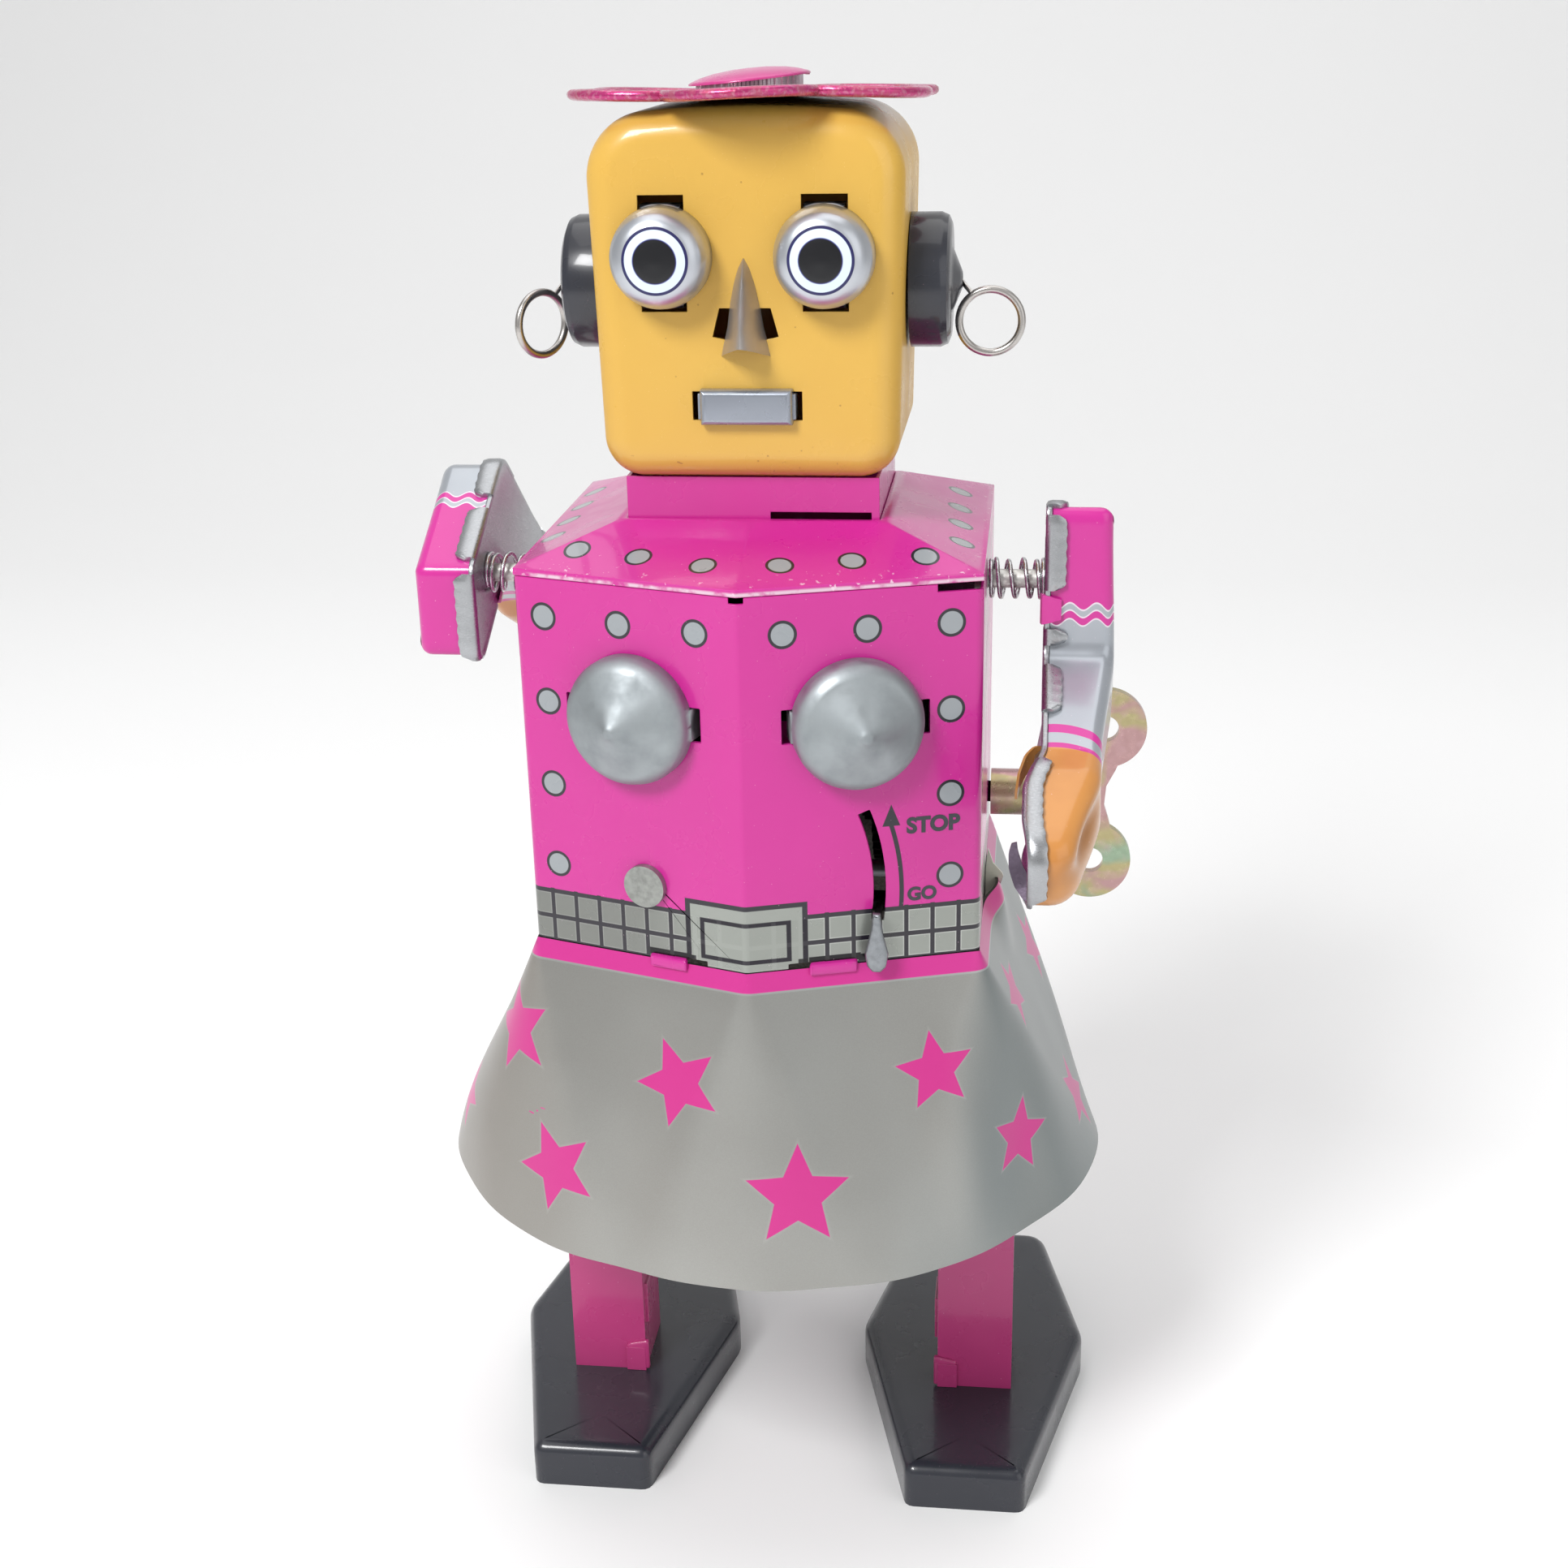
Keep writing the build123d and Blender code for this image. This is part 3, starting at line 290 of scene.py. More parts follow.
def handled(paint, dust=0.06):
    """Fine dust, scratches and uneven gloss, as on handled tin."""
    scratches = paint.cells(0.5, stretch=(6.0, 0.7, 0.9), turn=0.7)
    marks = (scratches * -1 + 0.035).over(0, 0.03) * paint.noise(0.25, 1.0).over(0.5, 0.62)
    paint.specks(0.9, 0.06, 0.02, dust * 6, (245, 205, 228))
    paint.mix(marks * (dust * 2.5), (250, 215, 235))
    paint.drive("Roughness", paint.noise(0.12, 4.0).over(0.3, 0.7), 0.22, 0.36)
    paint.bump(paint.noise(0.06, 2.0), 0.09)
    return paint


def lacquered(name, colour, metallic=0.0, dust=0.05):
    """Glossy lacquer on tin, worn by handling."""
    paint = Paint(name, colour, metallic, 0.3, coat=0.4, coat_roughness=0.08)
    paint.mottle(tuple(channel * 0.86 for channel in colour))
    return handled(paint, dust)


def bare_metal(name, colour, roughness, grain=(1, 1, 1), depth=0.01, scale=3.0, mottle=0.25):
    """Bare metal with a brushed or rolled grain."""
    paint = Paint(name, colour, 1.0, roughness)
    line = paint.noise(scale, 3.0, stretch=grain)
    stain = paint.noise(0.2, 4.0).over(0.55, 0.75)
    paint.mix(line.over(0.3, 0.75) * mottle, [channel * 0.72 for channel in colour])
    paint.mix(stain * (mottle * 0.7), [channel * 0.6 for channel in colour])
    paint.drive("Roughness", line.over(0.3, 0.7), roughness * 0.8, roughness * 1.35)
    paint.bump(line, depth)
    return paint


# Painted shade for the gaps along the waist, as (x, z, half width, half height).
WAIST_GAP_SHADES = [
    (-10.4, 93.9, 2.9, 0.5), (10.9, 93.9, 3.2, 0.5), (-7.3, 93.1, 0.6, 1.2), (7.0, 93.1, 0.6, 1.2),
    (15.0, 93.7, 1.2, 0.5),
]


def torso_paint():
    """Pink tin with the printed rivets, belt, buckle and arrow of the front and sides."""
    paint = Paint("torso_print", PINK, 0.0, 0.3, coat=0.4, coat_roughness=0.08)
    x, y, z = paint.layout()
    paint.mottle(PINK_SHADE)
    normal_x, normal_y = paint.split(paint.normal)[:2]
    front = (normal_y * -1).over(0.5, 0.6)
    side = abs(normal_x).over(0.7, 0.8)
    # How far round the sheet from the front corner, on the slanting facets and on the sides.
    slant = 1.047
    u = (abs(x) * -1 + TORSO_HALF) * slant * front + y * side
    # Rivets: three along the top of each facet and side, and a column down each corner.
    row = disc_distance((u - 4.0).repeat(10.4), z, 0, 137.1, 0)
    column = disc_distance(u, (z - 104.0).repeat(11.05), 4.0, 0, 0)
    rivet = row.least(column.most(z * -1 + 101.5).most(z - 139.5))
    paint.mix((rivet - 1.78).inside(), INK)
    paint.mix((rivet - 1.4).inside(), RIVET_SILVER)
    # Belt: two rows of silver tiles between black lines, with painted shade over the tiles at the robot's
    # right.
    belt_top = z - 100.0
    grid = (u + 0.6).repeat(3.42) - 0.29
    for line, half in ((96.4, 0.31), (100.0, 0.31), (93.0, 0.3)):
        grid = grid.least(abs(z - line) - half)
    tiles = (grid * -1).inside()
    paint.mix(belt_top.inside(), BELT_SILVER)
    paint.mix((grid - 0.12).inside() * belt_top.inside(0.3), (176, 179, 174))
    paint.mix(grid.inside() * (belt_top - 0.4).inside(), INK)
    # Painted shade: the tiles darker towards the robot's right.
    paint.mix(belt_top.inside() * (x + 9.0).inside(6.0) * tiles * 0.6, (104, 104, 101))
    buckle = box_distance(x, z, -0.15, 96.6, 7.45, 5.2).most(y)
    paint.mix(buckle.inside() * front, BELT_SILVER)
    paint.mix((abs(buckle) - 0.33).inside() * front, INK)
    paint.mix((abs(box_distance(x, z, -0.2, 96.95, 5.5, 2.55)) - 0.29).inside() * front, INK)
    # The curved arrow beside the lever's slot.
    shaft = abs(disc_distance(x, z, -13.0, 102.5, 32.2)) - 0.28
    shaft = shaft.most(z * -1 + 100.2).most(z - 112.0).most(x * -1 + 14)
    head = (abs(x - 17.95) + (z - 114.2) * 0.38).most(z * -1 + 111.3)
    paint.mix(shaft.inside() * front, INK)
    paint.mix(head.inside() * front, INK)
    # Painted shade: near-black in the gaps along the waist.
    paint.mix(least_of([box_distance(x, z, *notch) for notch in WAIST_GAP_SHADES]).inside() * front, (18, 16, 20))
    paint.drive("Metallic", belt_top.inside() * tiles, 0.0, 0.55)
    return handled(paint, 0.05)


CAP_RIVETS = [
    (-21.2, 2.2, 144.8), (-13.1, -0.2, 144.6), (-4.7, -3.0, 144.3), (4.6, -2.8, 144.4),
    (13.1, -0.5, 144.5), (21.8, 1.8, 144.5), (-26.5, 12.0, 143.9), (-26.4, 20.5, 144.0),
    (-26.4, 29.0, 144.0), (-26.4, 37.5, 144.0), (25.9, 10.5, 144.1), (25.4, 19.2, 144.3),
    (25.0, 27.5, 144.5), (24.7, 36.5, 144.6),
    (-17.0, 45.0, 144.6), (-5.7, 45.0, 144.6), (5.7, 45.0, 144.6), (17.0, 45.0, 144.6),
]


def cap_paint():
    """The pink roof of the torso, with printed rivets, a lip worn down to bright metal, and pale painted
    highlight flecks along its lower part.
    """
    paint = Paint("roof_print", PINK, 0.0, 0.28, coat=0.5, coat_roughness=0.06)
    z = paint.layout()[2]
    paint.mottle(PINK_SHADE)
    rivet = least_of([paint.distance(place) for place in CAP_RIVETS])
    paint.mix((rivet - 1.75).inside(), INK)
    paint.mix((rivet - 1.4).inside(), RIVET_SILVER)
    handled(paint, 0.09)
    edge = (abs(z - 142.3) - 0.22).inside(0.12)
    paint.mix(edge * paint.noise(0.5, 4.0).over(0.36, 0.52) * 0.85, (214, 196, 206))
    # Painted highlights: pale flecks along the lower part of the roof.
    paint.mix(paint.noise(1.4, 3.0).over(0.66, 0.7) * (z - 143.4).inside(0.6) * 0.8, (226, 200, 214))
    return paint


def face_paint():
    """Yellow lacquer, painted darker and browner along the rolled lip at the bottom as shade, with dust in
    its gloss.
    """
    paint = Paint("face_lacquer", YELLOW, 0.0, 0.3, coat=0.4, coat_roughness=0.07)
    z = paint.layout()[2]
    paint.mottle((204, 154, 64))
    # Painted shade: the rolled lip at the bottom darker and browner.
    paint.mix((z - 153.5).inside(0.5) * 0.6, (176, 106, 34))
    paint.mix(paint.noise(0.9, 4.0).over(0.69, 0.72) * (z - 156.5).inside(1.5) * 0.6, (140, 92, 50))
    paint.specks(0.35, 0.06, 0.02, 0.5, (120, 82, 40))
    paint.specks(1.3, 0.08, 0.03, 0.25, (250, 224, 160))
    paint.drive("Roughness", paint.noise(0.12, 4.0).over(0.3, 0.7), 0.24, 0.36)
    sides = abs(paint.split(paint.normal)[0]).over(0.55, 0.95)
    paint.drive("Coat Weight", sides, 0.4, 0.0)
    paint.drive("Specular IOR Level", sides, 0.4, 0.08)
    paint.bump(paint.noise(0.06, 2.0), 0.1)
    paint.bump(paint.noise(3.0, 2.0), 0.005)
    return paint


def shade_behind_front(paint):
    """The same paint, but painted near-black and dull as shade where a part sits close behind the front of
    the torso.
    """
    shade_share = (paint.layout()[1] - 40.0).inside(3.0)
    # Painted shade: near-black, matte and without metal where the part is behind the front.
    paint.mix(shade_share, (14, 12, 9))
    paint.drive("Metallic", shade_share, 1.0, 0.0)
    paint.drive("Roughness", shade_share, 0.34, 0.9)
    paint.drive("Specular IOR Level", shade_share, 0.4, 0.1)
    return paint


def lever_paint():
    """Dull scratched steel outside, painted black as shade where the lever runs behind the front."""
    paint = bare_metal("lever_steel", (128, 132, 136), 0.42, scale=2.0)
    inside = (paint.layout()[1] * -1 - 5.0).inside(0.1)
    # Painted shade: black and without metal where the lever is behind the front.
    paint.mix(inside, (10, 10, 10))
    paint.drive("Metallic", inside, 1.0, 0.0)
    return paint


def nose_paint():
    """Thin bright steel, rubbed satin."""
    paint = Paint("nose_steel", (178, 172, 168), 0.7, 0.4)
    paint.mix(paint.noise(0.4, 2.0).over(0.35, 0.7) * 0.25, (150, 142, 136))
    paint.drive("Roughness", paint.noise(1.5, 2.0), 0.3, 0.42)
    return paint


def zinc_paint():
    """Bright zinc plate with the pink and green bloom of its yellow passivation."""
    paint = Paint("zinc_bloom", (186, 150, 150), 0.95, 0.3)
    bloom = paint.noise(0.11, 3.0, distortion=0.6)
    grain = paint.noise(1.2, 3.0)
    paint.mix(bloom.over(0.44, 0.56) * 0.75, (178, 176, 120))
    paint.mix(bloom.over(0.60, 0.70) * 0.7, (140, 176, 158))
    paint.mix(paint.noise(0.5, 3.0).over(0.5, 0.7) * 0.3, (206, 170, 176))
    paint.drive("Roughness", grain.over(0.3, 0.7), 0.24, 0.4)
    paint.bump(grain, 0.008)
    return paint


# ---- materials of the parts ----


def part_materials():
    """The paint of each material slot in the record."""
    return {
        "pink_tin": lacquered("pink_lacquer", PINK),
        "yellow_tin": lacquered("yellow_lacquer", YELLOW, dust=0.02),
        "black_tin": lacquered("black_lacquer", (44, 46, 54), dust=0.015),
        "silver_lacquer": lacquered("silver_lacquer_paint", (152, 158, 168), metallic=0.6, dust=0.01),
        "skirt_tin": lacquered("skirt_lacquer", (168, 176, 176), metallic=0.5),
        "bright_tin": bare_metal("bare_tin", (176, 178, 181), 0.3, grain=(1, 1, 6)),
        "spun_aluminium": bare_metal("spun_cap", (163, 169, 172), 0.54, scale=0.3, depth=0.001, mottle=0.1),
        "polished_steel": bare_metal("polished_steel_skin", (196, 192, 188), 0.26, scale=0.3, depth=0.0),
        "spring_steel": bare_metal("spring_wire", (206, 206, 208), 0.24, scale=4.0, depth=0.003),
        "zinc_steel": zinc_paint(),
        "gear_brass": shade_behind_front(bare_metal("brass_skin", (176, 140, 78), 0.34, scale=1.5)),
        "gear_steel": shade_behind_front(bare_metal("gear_skin", (140, 142, 148), 0.3, scale=1.5)),
    }


def dress(node, paint, bevel):
    """Gives a CAD node its material, edges softened by bevel mm and smooth shading."""
    mesh = node.data
    mesh.materials.clear()
    mesh.materials.append(paint.material)
    if "custom_normal" in mesh.attributes:
        mesh.attributes.remove(mesh.attributes["custom_normal"])
    node.modifiers.new("weld", "WELD").merge_threshold = MERGE
    mesh.shade_smooth()
    if bevel == 0:
        return
    soft = node.modifiers.new("soft_edges", "BEVEL")
    soft.width = bevel * MM
    soft.segments = 2
    soft.limit_method = "ANGLE"
    soft.angle_limit = math.radians(32)
    soft.harden_normals = True


# ---- mesh helpers ----


def piece(name, points, faces, paints, body, stands_for=(), marks=None, inner=None, sharp=38):
    """A finished mesh piece that rides on a body.

    marks are numbers or vectors kept at each point for its paint, inner picks a face's paint by its index,
    and edges bent by more than sharp degrees stay sharp."""
    mesh = bpy.data.meshes.new(name)
    mesh.from_pydata([tuple(point) for point in points], [], faces)
    for paint in paints:
        mesh.materials.append(paint.material)
    for key, values in (marks or {}).items():
        kind = "FLOAT_VECTOR" if hasattr(values[0], "__len__") else "FLOAT"
        field = mesh.attributes.new(key, kind, "POINT")
        for item, value in zip(field.data, values):
            if kind == "FLOAT_VECTOR":
                item.vector = value
            else:
                item.value = value
    if inner is not None:
        for face in mesh.polygons:
            face.material_index = inner(face.index)
    holder = bpy.data.objects.new(name, mesh)
    bpy.context.scene.collection.objects.link(holder)
    shape = bmesh.new()
    shape.from_mesh(mesh)
    bmesh.ops.remove_doubles(shape, verts=shape.verts, dist=MERGE)
    bmesh.ops.recalc_face_normals(shape, faces=shape.faces)
    shape.to_mesh(mesh)
    shape.free()
    mesh.shade_smooth()
    mesh.set_sharp_from_angle(angle=math.radians(sharp))
    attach(holder, body)
    if stands_for:
        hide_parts(*stands_for)
    return holder


def net(rows, closed=True, caps=False):
    """Faces between rows of points that all have the same count; closed joins each row's ends."""
    count = len(rows[0])
    faces = []
    for r in range(len(rows) - 1):
        for c in range(count if closed else count - 1):
            d = (c + 1) % count
            faces.append((r * count + c, r * count + d, (r + 1) * count + d, (r + 1) * count + c))
    if caps:
        faces.append(tuple(range(count)))
        faces.append(tuple(range((len(rows) - 1) * count, len(rows) * count)))
    return faces


def flat(rows):
    """All the points of some rows, in one list."""
    return [point for row in rows for point in row]


def resample(points, step, closed=True):
    """Points evenly spaced along a polyline, about step apart."""
    chain = list(points) + ([points[0]] if closed else [])
    lengths = [0.0]
    for a, b in zip(chain, chain[1:]):
        lengths.append(lengths[-1] + math.dist(a, b))
    count = max(3, round(lengths[-1] / step))
    out = []
    leg = 0
    for index in range(count if closed else count + 1):
        target = lengths[-1] * index / count
        while leg < len(chain) - 2 and lengths[leg + 1] < target:
            leg += 1
        share = (target - lengths[leg]) / max(1e-9, lengths[leg + 1] - lengths[leg])
        out.append(tuple(p + (q - p) * share for p, q in zip(chain[leg], chain[leg + 1])))
    return out


def rounded(points, radii, step=0.5):
    """A closed outline with its corners rounded, as evenly spaced points."""
    out = []
    count = len(points)
    for index, radius in enumerate(radii):
        here = Vector(points[index])
        before = Vector(points[index - 1]) - here
        after = Vector(points[(index + 1) % count]) - here
        angle = before.angle(after)
        reach = min(radius / math.tan(angle / 2), before.length * 0.49, after.length * 0.49)
        start = here + before.normalized() * reach
        end = here + after.normalized() * reach
        for k in range(7):
            t = k / 6
            out.append(tuple(start * (1 - t) ** 2 + here * (2 * t * (1 - t)) + end * t * t))
    return resample(out, step)


def normals(loop):
    """Outward unit normals of a closed loop of 2-D points."""
    area = sum(a[0] * b[1] - b[0] * a[1] for a, b in zip(loop, loop[1:] + loop[:1]))
    turn = 1 if area > 0 else -1
    out = []
    for index in range(len(loop)):
        a, b = loop[index - 1], loop[(index + 1) % len(loop)]
        along = Vector((b[0] - a[0], b[1] - a[1])).normalized()
        out.append(Vector((along.y * turn, -along.x * turn)))
    return out


def nearest(point, spine):
    """The point of a polyline nearest to a point."""
    point = Vector(point)
    best = None
    for a, b in zip(spine, spine[1:]):
        a, b = Vector(a), Vector(b)
        share = max(0.0, min(1.0, (point - a).dot(b - a) / (b - a).length_squared))
        spot = a + (b - a) * share
        if best is None or (spot - point).length < (best - point).length:
            best = spot
    return best


def pan(loop, spine, low, high, radius, fill=7, walls=4):
    """Rows of (u, v, height) of a pan pressed from a closed outline.

    They go up its wall, round its edge and in to its spine. low, high and radius are functions of a
    point."""
    outward = normals(loop)
    rows = []
    for k in range(walls):
        rows.append([(*p, low(p) + (high(p) - radius(p) - low(p)) * k / walls) for p in loop])
    for k in range(8):
        angle = math.pi / 2 * k / 7
        row = []
        for p, n in zip(loop, outward):
            inset = radius(p) * (1 - math.cos(angle))
            spot = (p[0] - n.x * inset, p[1] - n.y * inset)
            row.append((spot[0], spot[1], high(spot) - radius(p) * (1 - math.sin(angle))))
        rows.append(row)
    last = rows[-1]
    for k in range(1, fill + 1):
        row = []
        for p in last:
            goal = nearest(p[:2], spine)
            spot = (p[0] + (goal.x - p[0]) * k / fill, p[1] + (goal.y - p[1]) * k / fill)
            row.append((spot[0], spot[1], high(spot)))
        rows.append(row)
    return rows


# ---- skirt ----

WAIST_Z = 92.9
HEM_Z = 52.0
# The hem is an oval: half its width and depth, and its middle's place in y.
HEM_WIDE = 47.0
HEM_DEEP = 38.2
HEM_MIDDLE = 20.8
WAIST = [
    (0.0, -PROW), (TORSO_HALF, 0.0), (TORSO_HALF, TORSO_DEPTH), (-TORSO_HALF, TORSO_DEPTH),
    (-TORSO_HALF, 0.0),
]
STARS = [
    # x, y and z near the star's middle, its radius and its turn in degrees
    (6.5, -13.8, 64.1, 7.0, 2), (-9.3, -10.4, 77.9, 6.1, -27), (23.8, -5.4, 78.6, 5.4, -6),
    (-26.2, -7.9, 63.4, 6.3, -30), (-32.4, -0.4, 79.8, 6.6, -24), (33.4, 9.5, 82.6, 5.0, -10),
    (35.8, -0.4, 65.6, 5.4, 18), (-40.0, 12.0, 62.5, 5.6, 12), (-34.5, 25.0, 79.0, 5.6, 30),
    (-43.0, 33.0, 61.0, 5.8, -16), (-33.0, 47.0, 76.0, 5.6, 5), (-22.0, 54.0, 62.0, 6.2, 24),
    (-6.0, 52.5, 78.0, 5.8, -20), (8.0, 57.0, 62.0, 6.4, 10), (22.0, 50.0, 77.0, 5.8, -32),
    (33.0, 50.0, 62.0, 5.8, 16), (36.0, 34.0, 78.5, 5.4, -8), (43.5, 20.0, 62.0, 5.6, 34),
]


def hem_at(angle):
    """A point of the hem, at an angle in degrees from the front."""
    turn = math.radians(angle)
    return (HEM_WIDE * math.sin(turn), HEM_MIDDLE - HEM_DEEP * math.cos(turn))


def skirt_section(share):
    """The skirt's outline at a share of the way from the waist to the hem, starting at the prow."""
    half_prow = math.degrees(math.atan2((PROW / TORSO_HALF) / HEM_DEEP, 1 / HEM_WIDE))
    stops = [-half_prow, half_prow, 90, 180, 270, 360 - half_prow]
    out = []
    for index, corner in enumerate(WAIST):
        start, end = stops[index], stops[index + 1]
        for k in range(25):
            hem = hem_at(start + (end - start) * k / 24)
            out.append(tuple(c * (1 - share) + h * share for c, h in zip(corner, hem)))
    middle = 12
    return out[middle:] + out[:middle]


# Folds of the skirt as (height in mm, where round it, how wide); angles go from the front to its left.
FOLDS = [(1.9, -1.45, 0.55), (-1.3, 1.35, 0.45), (1.2, 0.80, 0.10), (-1.5, 1.04, 0.13)]


def skirt_wave(x, y, share):
    """How far the thin sheet stands out from its true shape."""
    angle = math.atan2(x, HEM_MIDDLE - y)
    wave = 0.30 * math.sin(5 * angle + 0.7) + 0.22 * math.sin(9 * angle + 2.1)
    wave += 0.10 * math.sin(17 * angle)
    for height, middle, width in FOLDS:
        wave += height * math.exp(-((angle - middle) / width) ** 2) * math.sin(math.pi * share)
    wave -= 1.6 * math.exp(-((angle - 1.4) / 0.55) ** 2) * share
    lift = 1.9 * math.exp(-((y - 22.5) / 5.0) ** 2) * smoothstep(0.26, 0.0, share) if x > 20 else 0
    return wave * share ** 1.5 + lift


def skirt_outline(share, count):
    """The skirt's outline as count points, about evenly spaced."""
    rough = resample(skirt_section(share), 1.0)
    length = sum(map(math.dist, rough, rough[1:] + rough[:1]))
    return resample(skirt_section(share), length / count)[:count]


def skirt_rows(steps, count):
    """The outside of the skirt, in layout mm, row by row from the waist to the hem."""
    rows = []
    for k in range(steps + 1):
        share = k / steps
        section = skirt_outline(share, count)
        z = WAIST_Z + (HEM_Z - WAIST_Z) * share
        row = []
        for p, n in zip(section, normals(section)):
            wave = skirt_wave(p[0], p[1], share)
            aside = p[0] / HEM_WIDE
            raised = (1.9 * max(0.0, -aside) ** 3 + 2.4 * max(0.0, aside) ** 3) * share
            row.append(Vector((p[0] + n.x * wave, p[1] + n.y * wave, z + raised)))
        rows.append(row)
    return rows


def star_marks(rows):
    """Each point's place in a star near it, in radii, and 1 where the point is near enough to use it."""
    points = flat(rows)
    count = len(rows[0])
    near = [(4.0, 4.0, 0.0)] * len(points)
    found = [0.0] * len(points)
    for x, y, z, radius, turn in STARS:
        middle = min(range(len(points)), key=lambda i: (points[i] - Vector((x, y, z))).length)
        centre = points[middle]
        row, column = divmod(middle, count)
        across = (rows[row][(column + 2) % count] - rows[row][column - 2]).normalized()
        upward = rows[max(0, row - 2)][column] - rows[min(len(rows) - 1, row + 2)][column]
        upward = (upward - across * upward.dot(across)).normalized()
        cosine, sine = math.cos(math.radians(turn)), math.sin(math.radians(turn))
        for index, point in enumerate(points):
            offset = point - centre
            if offset.length > radius * 1.7:
                continue
            u, v = offset.dot(across) / radius, offset.dot(upward) / radius
            near[index] = (u * cosine - v * sine, u * sine + v * cosine, 0.0)
            found[index] = 1.0 if offset.length < radius * 1.25 else 0.0
    return near, found


def make_skirt(paint, inside):
    """The skirt: a thin sheet with an outside, an inside, and edges along the waist and the hem."""
    rows = skirt_rows(70, 380)
    near, found = star_marks(rows)
    low = [[p - (p - Vector((0, HEM_MIDDLE, p.z))).normalized() * SHEET for p in row] for row in rows]
    outside = net(rows)
    size = len(flat(rows))
    count = len(rows[0])
    faces = outside + [tuple(size + i for i in face) for face in outside]
    for c in range(count):
        d = (c + 1) % count
        for base in (0, size - count):
            faces.append((base + c, base + d, size + base + d, size + base + c))
    marks = {"star": near + near, "starred": found + found}
    piece("skirt_sheet", [at(*p) for p in flat(rows + low)], faces, [paint, inside], "torso",
          ["skirt"], marks, inner=lambda index: 0 if index < len(outside) else 1, sharp=60)


def make_block(name, corners, thick, paint, body, out):
    """A small folded tab: a rounded outline of (x, z) on the face y = out(x), thick mm forward of it."""
    loop = rounded(corners, [0.35] * len(corners), 0.25)
    outward = normals(loop)
    rows = []
    for inset, forward in ((0.0, -0.1), (0.0, thick * 0.6), (0.12, thick * 0.9), (0.3, thick)):
        spots = [(p[0] - n.x * inset, p[1] - n.y * inset) for p, n in zip(loop, outward)]
        rows.append([at(x, out(p[0]) - forward, z) for p, (x, z) in zip(loop, spots)])
    piece(name, flat(rows), net(rows, caps=True), [paint], body)


def make_tabs(pink, leg_pink):
    """The skirt's tabs folded up over the bottom of the torso, and the tabs at the foot of each leg."""
    for name, low, high in (("left", 7.8, 13.7), ("right", -12.9, -7.9)):
        corners = [(low, 92.0), (high, 92.0), (high, 93.6), (low, 93.6)]
        make_block("waist_tab_" + name, corners, 0.75, pink, "torso",
                   lambda x: facet_y(abs(x)))
    for name, side in SIDES:
        corners = [(side * 22.2, 7.2), (side * 25.6, 7.2), (side * 25.6, 11.6), (side * 22.2, 12.4)]
        make_block("leg_tab_" + name, corners, 0.5, leg_pink, "leg_" + name,
                   lambda x: 24.55)


def make_flap(tin):
    """The bent raw corner of sheet that stands up behind the waist on the robot's left."""
    outline = [(29.1, 89.6), (30.8, 91.0), (31.6, 93.4), (30.1, 94.8), (29.35, 96.9), (29.1, 94.0)]
    rows = []
    for back in (0.0, 0.42):
        row = []
        for x, z in resample(outline, 0.45):
            curl = 0.9 * smoothstep(92.0, 96.5, z) - 0.4 * smoothstep(30.0, 32.5, x)
            row.append(at(x, 23.6 + back + curl, z))
        rows.append(row)
    piece("skirt_flap", flat(rows), net(rows, caps=True), [tin], "torso", sharp=50)


def skirt_paint():
    """Silver lacquer with pink stars and a pink band at the waist, with painted shade and reflection tints
    where it turns to the sides.
    """
    paint = Paint("skirt_print", (166, 166, 162), 0.85, 0.32, coat=0.2, coat_roughness=0.12)
    z = paint.layout()[2]
    turned = paint.split(paint.normal)[0]
    paint.mix(paint.noise(0.03, 3.0).over(0.35, 0.7) * 0.35, (146, 142, 136))
    paint.mix(paint.noise(6.0, 1.0).over(0.3, 0.7) * 0.08, (200, 204, 204))
    # Painted shade and reflection: warm and darker where the sheet faces the robot's right, bluish and
    # darker where it faces its left.
    paint.mix((turned * -1).over(0.2, 0.8) * 0.5, (118, 106, 94))
    paint.mix(turned.over(0.25, 0.8) * 0.6, (92, 106, 110))
    u, v = paint.split(paint.attribute("star").outputs["Vector"])[:2]
    found = Value(paint.tree, paint.attribute("starred").outputs["Fac"]).over(0.45, 0.55)
    radius = (u * u + v * v).math("SQRT")
    fifth = 2 * math.pi / 5
    fold = abs(u.math("ARCTAN2", v).math("WRAP", fifth / 2, -fifth / 2))
    # The star's edge runs from its tip at (1, 0) to its inner corner.
    inner = 0.46
    edge = Vector((inner * math.cos(fifth / 2) - 1, inner * math.sin(fifth / 2)))
    across = Vector((edge.y, -edge.x)).normalized()
    distance = (radius * fold.math("COSINE") - 1.0) * across.x + radius * fold.math("SINE") * across.y
    in_star = distance.inside(0.006) * found
    band = (z * -1 + 90.4).inside(0.05)
    paint.mix((distance - 0.035).inside(0.02) * found * 0.2, (196, 196, 194))
    paint.mix(in_star, STAR_PINK)
    paint.mix((z * -1 + 90.15).inside(0.05) * 0.4, (200, 204, 206))
    paint.mix(band, (198, 48, 138))
    paint.drive("Metallic", in_star.most(band), 0.85, 0.1)
    scratches = paint.cells(0.35, stretch=(5.0, 0.8, 1.0), turn=0.5)
    paint.mix((scratches * -1 + 0.03).over(0, 0.03) * 0.3, (205, 208, 210))
    paint.bump(paint.noise(0.035, 2.0), 0.35)
    paint.bump(paint.noise(5.0, 1.0), 0.004)
    return paint


# ---- arms ----

SHOULDER = (16.0, 138.0)  # the axle's y and z in the layout
RIGHT_TURN = math.radians(119)  # how far the robot's right arm is turned from its left
